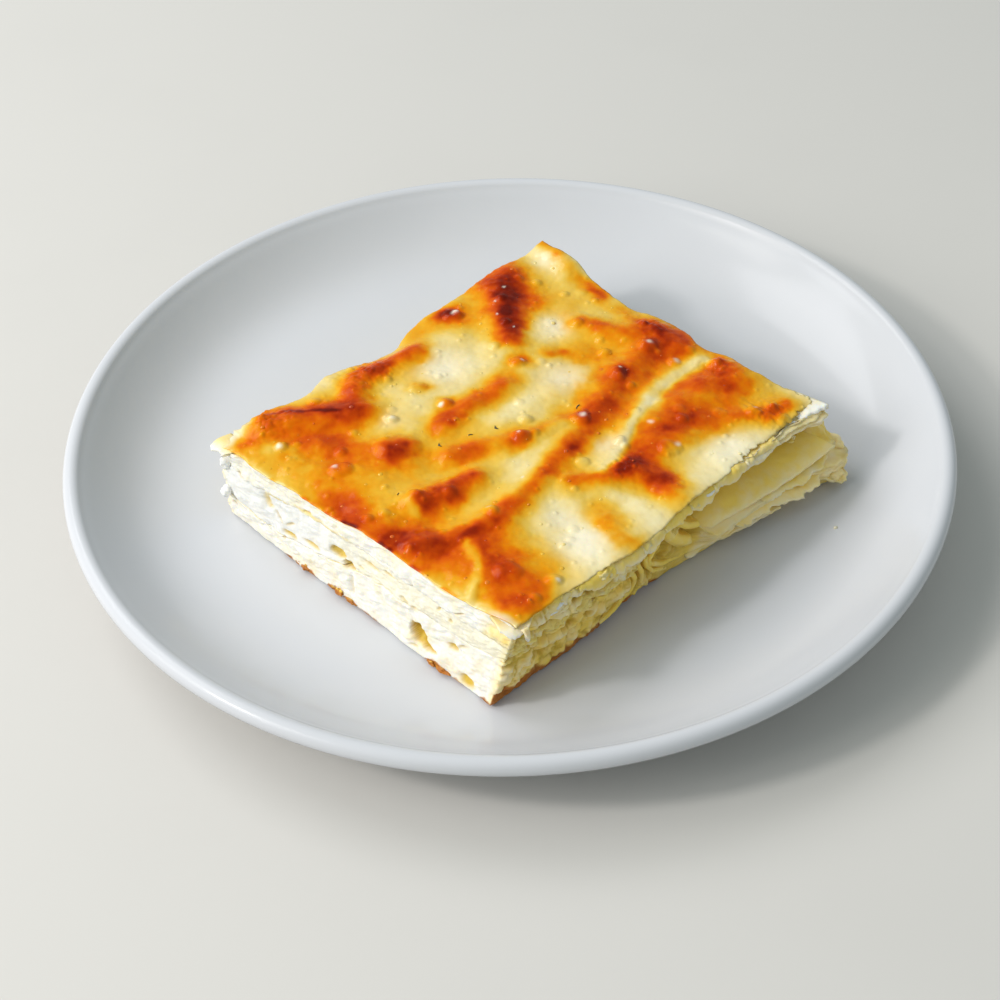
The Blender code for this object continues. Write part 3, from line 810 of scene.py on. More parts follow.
def boiled_dough():
    """Soft wet dough: cream, paler where thin, yellow as painted shade on shaded cuts, olive painted
    shade in the hollows, scorched base.
    """
    material, tree, shader, place = new_material("boiled dough")
    grain = grain_of(tree, place, 1.1)
    mottle = grain["Mottle"]
    pale = calculate(tree, "SUBTRACT", mark_of(tree, "pale"), 0.45)
    pale = calculate(tree, "MULTIPLY_ADD", mottle, 0.9, pale)
    pale = new_node(tree, "ShaderNodeClamp", {0: pale}).outputs[0]
    base = mix_colours(tree, pale, SHADED_DOUGH_YELLOW, BOILED_DOUGH_PALE)
    base = mix_colours(tree, mark_of(tree, "painted_shade"), base, DOUGH_PAINTED_SHADE)
    brown = mix_colours(tree, mottle, SCORCH_LIGHT, SCORCH_DARK)
    finish = {
        "Base Color": mix_colours(tree, mark_of(tree, "scorch"), base, brown),
        "Roughness": calculate(tree, "MULTIPLY_ADD", mottle, 0.35, 0.22),
        "Normal": fine_relief(tree, grain["Height"], 0.5, 0.25),
        "Specular IOR Level": 0.3,
        **moist_body(0.3, (1.0, 0.75, 0.3), 2.0, 1.4),
    }
    feed(tree, shader, finish)
    return material


dough = boiled_dough()
walk = Walk(CUT_COLUMNS, CUT_ROWS)


def make_lower_sheets():
    flap = walk.flap()
    bottom = base_height(*plan(walk.u, walk.v, 0.0))
    edge_out = cheese_bottom(*plan(walk.u, walk.v, 0.5)) + cheese_wander(walk, 91) - SHEET_GAP
    edge = edge_out * (1 - flap) + (FLAP_TOP - FLAP_EDGE_DROP - FLAP_THICKNESS) * flap
    share = np.linspace(0, 1, LOWER_WALL_TURNS)[:, None]
    z = bottom + (edge - bottom) * share
    out, painted_shade = cut_surface(walk, z, 1.0, 31)
    out = out + FLAP_EDGE_OUT * flap * share**1.5
    tuck = smooth_step(share, 0.0, 0.05) - 1
    out = out * (0.35 + 0.65 * smooth_step(z - bottom, 0.4, 4.0)) + 0.7 * tuck
    x, y = walk.place(z)
    brown = scorch(walk, z, x, y, bottom)
    pale = paleness_and_painted_light(walk, z, y, out)
    rings = [walk.ring(heights, pushed) for heights, pushed in zip(z, out)]
    marks = {"painted_shade": [painted_shade.ravel()], "scorch": [brown.ravel()], "pale": [pale.ravel()]}
    for distance in FLAP_TURNS:
        fall = np.interp(distance, (0, 3.0, 7.5, 13.0), (1.0, 0.7, 0.36, 0.0))

        def sloped(x, y, fall=fall):
            top = under_cheese(x, y)
            slope = FLAP_TOP - FLAP_EDGE_DROP * fall
            wave = 0.35 * clouds(x, y, 9.0, 2, 37) * flap
            return top - np.maximum(top - slope, 0.0) * flap + (wave * fall - 1.5) * flap

        fade = max(0.0, 1 - distance / 6.0)
        rings.append(walk.inset(distance - out[-1] * fade, sloped))
        here = np.ones(walk.count)
        # Painted shade, deeper on the turns further in under the cheese.
        marks["painted_shade"].append(0.5 * smooth_step(distance, 5, 13) * here)
        marks["scorch"].append(0 * here)
        marks["pale"].append(0.35 * here)
    points, faces = close_skin(rings, (0.0, flat_base), (CHEESE_LEVEL, under_cheese))
    marks = {name: np.concatenate(values) for name, values in marks.items()}
    return add_piece("lower_sheets", points, faces, dough, marks)


lower_sheets = make_lower_sheets()
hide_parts("lower_pastry")

# ---------------------------------------------------------------- loose sheets
# Sheets that left the stack when the slice was lifted out: the flap with its torn lower
# neighbours, folds that the knife cut through, and the thin sheets just under the crust.
# Each is one sheet of boiled dough a millimetre or so thick.

# Rails run from the hidden root to the free edge, each from left to right.
LAID_SHEETS = {
    "flap_sheet": {
        "pale": 0.0,
        "shade": 1.3,
        "thickness": 1.6,
        "ragged": 0.3,
        "rails": [
            [(4, -48, 23.0), (12, -45, 24.6), (22, -44, 25.0), (31, -44, 25.0), (39, -45, 24.8)],
            [(5, -53.5, 20.6), (13, -51.5, 22.4), (25, -51.5, 22.9), (35, -52, 23.2)]
            + [(43.5, -53, 23.4)],
            [(6, -56.6, 17.8), (13.4, -57, 18.4), (25, -58.2, 18.9), (38, -59.6, 19.7)]
            + [(48, -60.4, 21)],
            [(6, -57.6, 16.4), (13.4, -58.4, 16.9), (25, -60.2, 17.2), (38, -61.8, 18)]
            + [(49.6, -62.9, 19.4)],
        ],
    },
    "torn_sheet_under_flap": {
        "thickness": 1.0,
        "ragged": 1.7,
        "rails": [
            [(14, -51, 15.2), (28, -51, 15.2), (46, -52, 15.4)],
            [(15, -57.2, 14.6), (29, -59.2, 14.6), (46, -59.4, 15.2)],
            [(17, -59.6, 12.8), (28.5, -62.0, 12.6), (36, -63.8, 12.6), (41, -64.6, 12.8)]
            + [(46.4, -62.4, 14.2)],
        ],
    },
    "frill_under_flap": {
        "thickness": 0.9,
        "ragged": 1.3,
        "rails": [
            [(24, -52, 17.0), (36, -53, 17.2), (48, -54, 17.6)],
            [(25, -59.4, 16.0), (37, -60.6, 16.4), (48, -60.6, 17.2)],
            [(26, -60.6, 14.8), (34, -62.0, 15.0), (42, -63.2, 15.6), (48.6, -61.8, 16.6)],
        ],
    },
    "lowest_torn_sheet": {
        "thickness": 1.0,
        "ragged": 0.6,
        "rails": [
            [(3, -50, 11.4), (18, -50, 11.2), (32, -52, 11.0)],
            [(3, -54.8, 10.9), (18, -56.6, 10.6), (32, -59, 10.4)],
            [(3, -56.2, 9.8), (12, -57.2, 9.6), (22, -59.2, 9.6), (32, -61.2, 9.8)],
        ],
    },
    "corner_tear": {
        "thickness": 0.9,
        "crumple": 0.7,
        "ragged": 2.2,
        "rails": [
            [(43, -55, 14.0), (48, -55, 14.4), (53, -54, 14.6)],
            [(44.5, -60, 13.2), (49, -61, 13), (54, -59.5, 13.2)],
            [(46, -63, 11.2), (49, -65, 9.8), (52, -65.8, 9.8), (54.6, -62.2, 11.6)],
        ],
    },
    "corner_curl": {
        "thickness": 1.2,
        "crumple": 0.9,
        "ragged": 1.8,
        "rails": [
            [(41, -51, 22.2), (48, -50, 22.2), (54, -46, 21.4)],
            [(42.6, -55, 22.8), (49.5, -55.5, 21.8), (55.4, -51, 20.2)],
            [(44.5, -58, 21.2), (50.6, -59.2, 19.4), (55.6, -56, 17.6)],
            [(46, -60, 19.0), (51.4, -61.4, 17), (55.2, -59, 15.4)],
        ],
    },
    "corner_layer": {
        "thickness": 1.1,
        "crumple": 0.8,
        "ragged": 2.0,
        "rails": [
            [(44, -52, 17.4), (49, -50, 17.4), (53, -44, 17.2)],
            [(46.6, -57.6, 17.2), (52, -57, 16.8), (55.2, -50, 16.2)],
            [(48.4, -61.4, 15.2), (53.4, -61.6, 14.6), (55.8, -54, 13.8)],
        ],
    },
    "left_corner_flake": {
        "node": "upper_pastry",
        "pale": 0.5,
        "thickness": 0.9,
        "ragged": 1.2,
        "rails": [
            [(-57, 30.5, 30.9), (-56.6, 37.4, 31.0)],
            [(-60.4, 31.4, 30.8), (-59.6, 38.4, 30.8)],
            [(-62.4, 33.4, 30.0), (-61.6, 38.6, 30.0)],
        ],
    },
    "lip_tip": {
        "node": "upper_pastry",
        "pale": 0.6,
        "thickness": 0.8,
        "ragged": 0.9,
        "rails": [
            [(-57.2, -50.6, 31.1), (-53.4, -53.6, 31.2), (-49.0, -55.6, 31.1)],
            [(-58.2, -54.2, 30.8), (-55.8, -56.8, 30.9), (-51.8, -58.0, 30.9)],
            [(-58.5, -55.2, 30.1), (-56.6, -57.8, 29.8), (-53.6, -58.8, 30.3)],
        ],
    },
    "hanging_drip": {
        "node": "upper_pastry",
        "pale": 0.8,
        "thickness": 1.2,
        "ragged": 0.1,
        "rails": [
            [(-55.6, -58.8, 31.6), (-54.0, -59.0, 31.6)],
            [(-55.3, -59.6, 30.4), (-54.3, -59.7, 30.4)],
            [(-55.0, -59.8, 28.6), (-54.5, -59.8, 28.6)],
        ],
    },
    "right_side_sheet": {
        "thickness": 1.2,
        "ragged": 0.9,
        "rails": [
            [(44, -40, 19.4), (44, -20, 18.4), (45, 4, 18.0)],
            [(52.6, -40, 18.4), (52.2, -20, 17.0), (51.6, 4, 16.8)],
        ],
    },
    "right_side_upper_sheet": {
        "node": "upper_pastry",
        "thickness": 1.1,
        "ragged": 0.8,
        "rails": [
            [(40, -26, 28.0), (42, -4, 27.6), (44, 26, 27.6)],
            [(47.6, -26, 27.6), (47.2, -4, 27.0), (50.2, 26, 27.2)],
        ],
    },
    "back_side_sheet": {
        "thickness": 1.2,
        "ragged": 0.9,
        "rails": [
            [(34, 29, 16.2), (10, 28, 15.6), (-18, 29, 15.0)],
            [(34, 38.4, 15.2), (10, 37.4, 14.4), (-18, 37.2, 14.0)],
        ],
    },
}
# The thin sheets just under the crust, which fan out like pages towards the right corner:
# how far each is below and behind the crust's edge, and its paleness.
PAGE_RAILS = [
    [(4, -50, 29.2), (20, -47, 28.9), (36, -46, 28.6), (49.5, -47, 28.5)],
    [(4.5, -55, 29.2), (20, -53, 29.0), (35, -52, 28.8), (50.5, -54, 28.8)],
    [(5, -57.6, 29), (19, -56.9, 28.8), (31.6, -56.0, 28.6), (42, -56.8, 28.6), (51, -58.8, 29.2)],
]
PAGES = {
    "second_sheet": (-0.1, -0.4, 0.75),
    "third_sheet": (0.9, 0.3, 0.55),
    "fourth_sheet": (1.9, 1.1, 0.4),
}
# Flakes of torn sheet that hang under the crust's front edge: ends along it, drop of the
# torn edge, distance it stands out, paleness.
LIP_FLAKES = [
    (-45.0, -34.0, 1.5, 0.3, 0.3),
    (-37.0, -25.0, 2.2, 0.6, 0.0),
    (-28.0, -15.0, 1.8, 0.1, 0.1),
    (-18.0, -8.0, 2.3, 0.4, 0.2),
    (-10.0, 3.0, 1.9, 0.3, -0.05),
    (0.0, 12.0, 2.4, 0.2, 0.0),
    (9.0, 24.0, 1.9, 0.3, 0.1),
    (21.0, 33.0, 1.8, 0.0, 0.2),
]
LIP_FLAKE_DEPTH = 3.4
LIP_FLAKE_BELOW = 1.3
# Folds cut through by the knife: thickness, and the line on the front cut from end to end.
# They run inwards.
CUT_FOLDS = {
    "hanging_fold": (
        1.3,
        [(-12.6, -58.6, 30.2), (-10.2, -58.6, 27.4), (-10.4, -58.2, 24.6), (-12.0, -57.6, 21.8)]
        + [(-11.0, -56.9, 18.6), (-8.0, -56.2, 15.6), (-3.0, -55.6, 12.6), (4.0, -55.8, 11.4)]
        + [(13.0, -57.2, 11.6), (22.0, -58.8, 12.2)],
    ),
    "thick_lobe": (
        3.2,
        [(-7.4, -56.8, 27.6), (-4.8, -57.2, 23.6), (-1.2, -57.2, 19.4), (2.4, -57.0, 16.6)],
    ),
    "lobe_above": (
        2.0,
        [(-5.4, -57.2, 28.6), (-1.6, -57.4, 25.0), (2.6, -57.6, 21.6), (5.0, -57.6, 20.6)],
    ),
    "left_pleat": (
        1.2,
        [(-18.6, -57.8, 25.6), (-19.0, -57.6, 22.2), (-16.6, -57.0, 17.8), (-17.0, -56.4, 14.0)]
        + [(-19.0, -55.8, 11.8)],
    ),
    "middle_pleat": (
        1.1,
        [(-15.8, -57.8, 25.8), (-16.0, -57.4, 21.6), (-13.4, -56.6, 16.6), (-13.2, -55.8, 12.6)]
        + [(-14.8, -55.2, 9.9)],
    ),
    "right_pleat": (
        1.3,
        [(-13.4, -57.4, 22.6), (-12.4, -57.0, 19.2), (-9.6, -56.0, 14.8), (-6.4, -55.2, 11.8)]
        + [(-3.2, -54.8, 10.0)],
    ),
    "outer_pleat": (
        1.1,
        [(-21.4, -57.2, 16.6), (-21.0, -56.8, 13.6), (-22.6, -56.2, 11.2), (-27.0, -55.4, 9.6)],
    ),
}
FOLD_DEPTH = 6.5
SHEET_STEP = 0.42
CURVE_STEPS = 24  # between two named points, before they are spaced evenly


def smooth_line(points, count):
    """Evenly spaced points on a soft curve through named points."""
    points = np.array(points, float)
    if len(points) == 2:
        return points[0] + (points[1] - points[0]) * np.linspace(0, 1, count)[:, None]
    padded = np.vstack([2 * points[0] - points[1], points, 2 * points[-1] - points[-2]])
    fine = []
    for k in range(1, len(padded) - 2):
        a, b, c, d = padded[k - 1 : k + 3]
        for t in np.linspace(0, 1, CURVE_STEPS, endpoint=False):
            curve = 2 * b + (c - a) * t + (2 * a - 5 * b + 4 * c - d) * t**2
            fine.append((curve + (3 * b - a - 3 * c + d) * t**3) / 2)
    fine = np.array(fine + [points[-1]])
    walked = np.concatenate([[0], np.cumsum(np.linalg.norm(np.diff(fine, axis=0), axis=1))])
    wanted = np.linspace(0, walked[-1], count)
    return np.stack([np.interp(wanted, walked, fine[:, axis]) for axis in range(3)], -1)


def line_length(points):
    return np.linalg.norm(np.diff(np.array(points, float), axis=0), axis=1).sum()


def sheet_form(rails, thickness, ragged, crumple, seed):
    """Points, faces and edge shares of one closed thin sheet laid over its rails."""
    along = max(6, int(max(line_length(rail) for rail in rails) / SHEET_STEP))
    lines = np.array([smooth_line(rail, along) for rail in rails])
    reach = line_length([line[along // 2] for line in lines])
    across = max(5, int(reach / SHEET_STEP))
    surface = np.stack([smooth_line(lines[:, k], across) for k in range(along)], 1)
    place = np.arange(along) * SHEET_STEP
    share = np.linspace(0, 1, across)[:, None]
    outward = surface[-1] - surface[-3]
    outward /= np.linalg.norm(outward, axis=1)[:, None]
    tear = ragged * clouds(place, 3.1 * seed, 3.4, 3, 300 + seed)
    tear += 0.7 * ragged * np.abs(clouds(place, 5.7 * seed, 1.5, 3, 340 + seed))
    surface = surface + (share**5 * tear)[..., None] * outward
    normal = np.cross(np.gradient(surface, axis=1), np.gradient(surface, axis=0))
    normal /= np.linalg.norm(normal, axis=2)[..., None] + 1e-9
    on_sheet = place + 0 * share, share * reach
    wave = 0.55 * clouds(*on_sheet, 7.0, 3, 380 + seed)
    wave += crumple * (2.4 * np.abs(clouds(*on_sheet, 3.2, 3, 460 + seed)) - 0.5)
    surface = surface + wave[..., None] * normal * share[..., None]
    thick = thickness * (1 + 0.22 * clouds(*on_sheet, 4.0, 2, 420 + seed))
    half = (thick / 2)[..., None] * normal
    rim = surface[-1] + outward * thickness * 0.32
    ring = np.concatenate([surface + half, rim[None], (surface - half)[::-1]])
    rows = len(ring)
    edge = np.concatenate([share[:, 0] ** 4, [1.0], share[::-1, 0] ** 4])
    faces = []
    for k in range(along - 1):
        for row in range(rows):
            here, after = row * along + k, (row + 1) % rows * along + k
            faces.append((here, here + 1, after + 1, after))
    faces.append(tuple(row * along for row in range(rows)))
    faces.append(tuple(row * along + along - 1 for row in reversed(range(rows))))
    return ring.reshape(-1, 3), faces, np.repeat(edge, along)


def page_sheets():
    """The sheets under the crust, each a little lower and further in than the last."""
    pages = {}
    for page, (drop, inward, pale) in PAGES.items():
        rails = []
        for rail in PAGE_RAILS:
            rails.append([(x, y + inward, z - drop * (0.7 + 0.006 * x)) for x, y, z in rail])
        pages[page] = {"thickness": 0.95, "ragged": 1.0, "pale": pale, "rails": rails}
    return pages


def crust_fall(x):
    """How much lower the crust lies towards the right."""
    return smooth_step(x, -20, 48) * CRUST_FALL


def lip_flake_sheets():
    """The flakes under the crust's front edge."""
    flakes = {}
    corner, far_corner = CRUST_CORNERS["front"][0], CRUST_CORNERS["right"][0]
    for number, (start, end, drop, out, pale) in enumerate(LIP_FLAKES):
        part = np.linspace(0, 1, 7)
        x = start + (end - start) * part
        share = (x - corner) / (far_corner - corner)
        y = plan(share, 0 * share, 1.0)[1]
        z = CRUST_HEIGHT - LIP_FLAKE_BELOW - crust_fall(x)
        hang = 0.15 + 0.85 * np.sin(math.pi * part)
        rails = [
            list(zip(x, y + LIP_FLAKE_DEPTH, z)),
            list(zip(x, y + 0.6 - out * hang, z)),
            list(zip(x, y - out * hang, z - drop * hang)),
        ]
        flake = {"thickness": 1.1, "crumple": 0.5, "ragged": 1.3, "pale": pale, "rails": rails}
        flakes[f"lip_flake_{number + 1}"] = flake
    return flakes


def cut_fold_sheets():
    """The folds that the knife cut through."""
    folds = {}
    for name, (thickness, line) in CUT_FOLDS.items():
        front = np.array(line, float)
        rails = [front + (0, FOLD_DEPTH, 0), front + (0, FOLD_DEPTH / 2, 0), front]
        folds[name] = {"thickness": thickness, "ragged": 0.25, "rails": rails}
    return folds


def lay_sheets():
    under_crust = {**page_sheets(), **lip_flake_sheets()}
    folds = cut_fold_sheets()
    for seed, (name, sheet) in enumerate({**LAID_SHEETS, **under_crust, **folds}.items()):
        shape = sheet["thickness"], sheet["ragged"], sheet.get("crumple", 0.1)
        points, faces, edge = sheet_form(sheet["rails"], *shape, seed)
        # Paler edges, partly thin dough and partly a painted highlight on the rims; painted shade
        # deepening away from the edge, under the sheets above.
        body, edge_pale = (-0.15, 0.15) if name in folds else (sheet.get("pale", 0.05), 0.4)
        marks = {
            "pale": body + edge_pale * edge**2,
            "painted_shade": sheet.get("shade", 0.45) * (1 - edge) ** 4,
        }
        face_outwards(add_piece(name, points, faces, dough, marks))


lay_sheets()

# ---------------------------------------------------------------- cheese
# Fresh white cheese, crumbled and spread between the sheets: a thick milky bed along the
# left cut, thin under the rest. The knife smeared it where it is thick.

CHEESE_WHITE = (0.88, 0.87, 0.825, 1.0)
CHEESE_CREAM = (0.88, 0.70, 0.22, 1.0)
# Olive-yellow painted shade in the cheese's clefts and holes.
CHEESE_PAINTED_SHADE = (0.70, 0.50, 0.10, 1.0)
CURD_SPACING, CURD_ROW_HEIGHT = 4.2, 3.6
CURD_ROWS = 5
CURD_SIZE = 2.6
CHEESE_WALL_TURNS = 36
CHEESE_BACK_BEHIND_FLAP = 9.5


def curds(walk, z):
    """Rounded lumps of crumbled cheese packed along the cut, and the clefts between."""
    draw = np.random.default_rng(5)
    far = walk.far + 0 * z
    near = np.full(z.shape, 99.0)
    second = near.copy()
    for column in range(int(walk.length / CURD_SPACING)):
        for row in range(CURD_ROWS):
            jitter = draw.uniform(-1.6, 1.6, 2)
            height = 11 + row * CURD_ROW_HEIGHT + jitter[1]
            gap = np.abs(far - (column * CURD_SPACING + jitter[0]))
            gap = np.minimum(gap, walk.length - gap)
            away = np.hypot(gap, (z - height) * 1.25)
            second = np.minimum(second, np.maximum(near, away))
            near = np.minimum(near, away)
    lump = np.clip(1 - (near / CURD_SIZE) ** 2, -0.6, 1)
    return lump, hump(second - near, 0, 0.5)


def fresh_cheese():
    """Milky curd: nearly white with cream mottle, painted shade in the clefts, soft and moist."""
    material, tree, shader, place = new_material("fresh white cheese")
    grain = grain_of(tree, place, 0.7)
    mottle = rescale(tree, grain["Mottle"], 0.15, 0.5)
    base = mix_colours(tree, mottle, CHEESE_WHITE, CHEESE_CREAM)
    base = mix_colours(tree, mark_of(tree, "milky_and_glint"), base, CHEESE_WHITE)
    finish = {
        "Base Color": mix_colours(tree, mark_of(tree, "painted_shade"), base, CHEESE_PAINTED_SHADE),
        "Roughness": calculate(tree, "MULTIPLY_ADD", grain["Mottle"], 0.3, 0.35),
        "Normal": fine_relief(tree, grain["Height"], 0.6, 0.25),
        **moist_body(0.4, (1.0, 0.9, 0.7), 1.6, 1.38),
    }
    feed(tree, shader, finish)
    return material


cheese_finish = fresh_cheese()


def make_cheese():
    back_by = -CHEESE_BACK_BEHIND_FLAP * walk.flap()
    x, y = plan(walk.u, walk.v, CHEESE_LEVEL)
    x, y = x + walk.out[:, 0] * back_by, y + walk.out[:, 1] * back_by
    low = cheese_bottom(x, y) + cheese_wander(walk, 91)
    high = cheese_top(x, y) + 0.6 * cheese_wander(walk, 92)
    share = np.linspace(0, 1, CHEESE_WALL_TURNS)[:, None]
    z = low + (high - low) * share
    relief, painted_shade = cut_surface(walk, z, 0.25, 31)
    lump, cleft = curds(walk, z)
    along = plan(walk.u, walk.v, 0.5)[1]
    left = walk.share["left"]
    smear = left * (0.7 + 0.3 * smooth_step(along, -12, 6))
    curdy = 1 - 0.95 * left
    round_out = -1.2 * (np.abs(2 * share - 1) ** 6) * (1 - 0.85 * left)
    out = relief * (1 - 0.3 * smear) + curdy * (0.25 * lump - 0.35 * cleft) + round_out
    out = out + back_by
    # Painted shade in the clefts between the curds.
    painted_shade = np.clip(painted_shade + 0.5 * cleft * curdy, 0, 1)
    rings = [walk.ring(heights, pushed) for heights, pushed in zip(z, out)]
    ends = (CHEESE_LEVEL, cheese_bottom), (CHEESE_LEVEL, cheese_top)
    points, faces = close_skin(rings, *ends)
    marks = {"painted_shade": painted_shade.ravel(), "milky_and_glint": (smear + 0 * z).ravel()}
    return add_piece("cheese_bed", points, faces, cheese_finish, marks)


cheese = make_cheese()
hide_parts("cheese_filling")

# ---------------------------------------------------------------- upper sheets and crust
# The top sheets lie over the cheese; the last one, brushed with egg and butter, wrinkled,
# blistered and browned in the oven. Its crests scorched, the hollows stayed pale and wet.

CRUST_FOLDS = {
    "left corner fold": ([(-50, 33), (-43, 28.5), (-37, 24), (-30, 20)], 4.5, 1.9),
    "left strip": ([(-57, 27), (-53, 12), (-49, 0), (-55, -13)], 7.0, 0.8),
    "left middle": ([(-46, 18), (-39, 11), (-34, 4)], 5.5, 1.0),
    "back crest": ([(-30, 22), (-23, 29), (-15, 29.5), (-5, 28.5)], 3.6, 1.5),
    "back streak": ([(38, 36), (29, 31), (22, 22), (14.5, 14)], 5.0, 1.6),
    "short fold": ([(-20, 1), (-10, 2.8), (1, 1.5)], 3.2, 1.0),
    "oval fold": ([(-44, -13), (-36, -16), (-28, -17)], 4.0, 1.6),
    "second fold": ([(-26, -7), (-17, -11.5), (-10, -15), (5, -20)], 3.0, 1.1),
    "long fold": (
        [(-52, -24), (-44, -28), (-33, -30), (-18, -28), (7, -21.5), (17, -17), (38, -13)],
        4.2,
        1.3,
    ),
    "right edge fold": ([(33, 5), (36, -4), (43, -10), (43, -18)], 4.5, 1.2),
    "pale crest": ([(-5, -37), (3, -34), (12, -30), (22, -26), (32, -24), (42, -26)], 2.6, 0.8),
    "front field": ([(13, -39), (24, -36), (34, -34), (42, -37)], 7.0, 1.4),
    "front arm": ([(-14, -34), (-7, -39), (0, -42), (2, -49), (0, -57)], 4.0, 1.0),
    "front corner field": ([(-46, -38), (-45, -48), (-51, -54)], 9.0, 1.3),
    "pale crease": ([(-44, -31), (-49, -40), (-56, -44)], 1.8, 0.9),
    "yellow patch": ([(-18, -48), (-20, -56)], 4.0, 0.5),
    "scaly corner": ([(31, -46), (37, -50), (43, -52)], 4.0, 0.8),
    "back corner curl": ([(51, 38), (50.5, 30), (49, 24)], 4.5, 2.2),
}
CRUST_BLISTERS = [
    (-34, 4, 5.5, 0.9),
    (-52, -23, 6.5, 0.7),
    (-48, 8, 3.0, 1.2),
    (-52.3, 23.8, 1.9, 0.8),
    (-27, 13, 1.8, 0.7),
    (-13.8, 17, 2.4, 0.6),
    (-13.6, 7.4, 2.4, 1.2),
    (10, 6, 2.4, 1.0),
    (-43.4, 12.5, 1.8, 0.6),
    (-49, 34.5, 1.6, 0.7),
    (12.6, 32.3, 2.9, 1.4),
    (18.9, 18.8, 1.4, 0.7),
    (25.2, 27, 1.5, 0.6),
    (35, 30, 1.3, 0.6),
    (-17, 24.5, 1.3, 0.5),
    (-10.7, -15.2, 2.6, 1.3),
    (4.4, -20.2, 3.0, 1.2),
    (23.3, -15.2, 2.7, 1.3),
    (22.7, -20.4, 1.3, 0.7),
    (36.5, -13.3, 2.8, 1.1),
    (37.2, -21.5, 2.3, 0.9),
    (30.9, -2.6, 1.3, 0.5),
    (43, -6.5, 1.4, 0.7),
    (43.5, -29.7, 2.7, 1.4),
    (-45.3, -44.2, 3.5, 1.0),
    (-39.7, -53.6, 2.3, 1.1),
    (-34, -28, 2.2, 1.1),
    (-42.4, -11.6, 2.4, 0.9),
    (-36, -16.5, 2.0, 0.6),
    (10.7, -42.9, 3.0, 1.0),
    (20.8, -38.5, 1.8, 0.8),
    (35.3, -48.6, 2.5, 1.0),
    (39.6, -51, 1.8, 0.9),
]
# Browning of the crust, laid on like washes of colour: points along it, half-width, depth.
BROWN_WASHES = [
    ([(-50, 33), (-38, 24)], 8.5, 0.62),
    ([(-30, 24), (-22, 29), (-6, 28)], 5.2, 0.50),
    ([(-46, 24), (-44, 10), (-40, 4)], 11.0, 0.55),
    ([(-57, 24), (-57, -4)], 5.0, 0.34),
    ([(-54, -2), (-56, -14)], 7.5, 0.52),
    ([(-53, -20), (-51, -27)], 9.0, 0.62),
    ([(-46, -34), (-48, -52)], 9.5, 0.64),
    ([(-38, -36), (-36, -52)], 6.0, 0.26),
    ([(-40, -14), (-30, -18)], 6.5, 0.40),
    ([(-27, -6), (-17, -11), (-8, -15), (4, -19)], 5.2, 0.55),
    ([(-46, -29), (-34, -30.5), (-20, -29), (-4, -25)], 4.6, 0.52),
    ([(-4, -25), (8, -21.5), (18, -17)], 5.5, 0.56),
    ([(18, -17), (30, -15), (42, -14)], 7.5, 0.54),
    ([(32, 4), (36, -6), (43, -12)], 6.5, 0.50),
    ([(44, 4), (46, -24)], 3.5, 0.35),
    ([(-21, 2), (-10, 2.5), (2, 2.8)], 4.2, 0.52),
    ([(29, 32), (27, 26)], 9.5, 0.64),
    ([(22, 22), (15, 13)], 5.2, 0.50),
    ([(2, 34), (12, 31)], 6.0, 0.42),
    ([(18, 2), (24, -4)], 4.0, 0.40),
    ([(10, 6)], 4.0, 0.40),
    ([(11, -38), (26, -36.5), (42, -34)], 9.2, 0.66),
    ([(0, -41), (2, -50)], 6.0, 0.55),
    ([(-13, -35), (-4, -40)], 4.0, 0.50),
    ([(-17, -46), (-20, -56)], 5.0, 0.42),
    ([(30, -46), (42, -50)], 6.0, 0.42),
    ([(38, 14), (47, 14)], 5.0, 0.20),
    ([(46, 20), (45, 11)], 2.6, 0.42),
    ([(50, 34), (48, 24)], 2.6, 0.30),
    ([(-14, 17)], 3.4, 0.32),
    ([(-30, 10), (0, 18)], 14.0, 0.08),
    ([(0, -10), (16, -8)], 8.0, 0.10),
    ([(16, -27), (40, -20)], 5.0, 0.24),
]
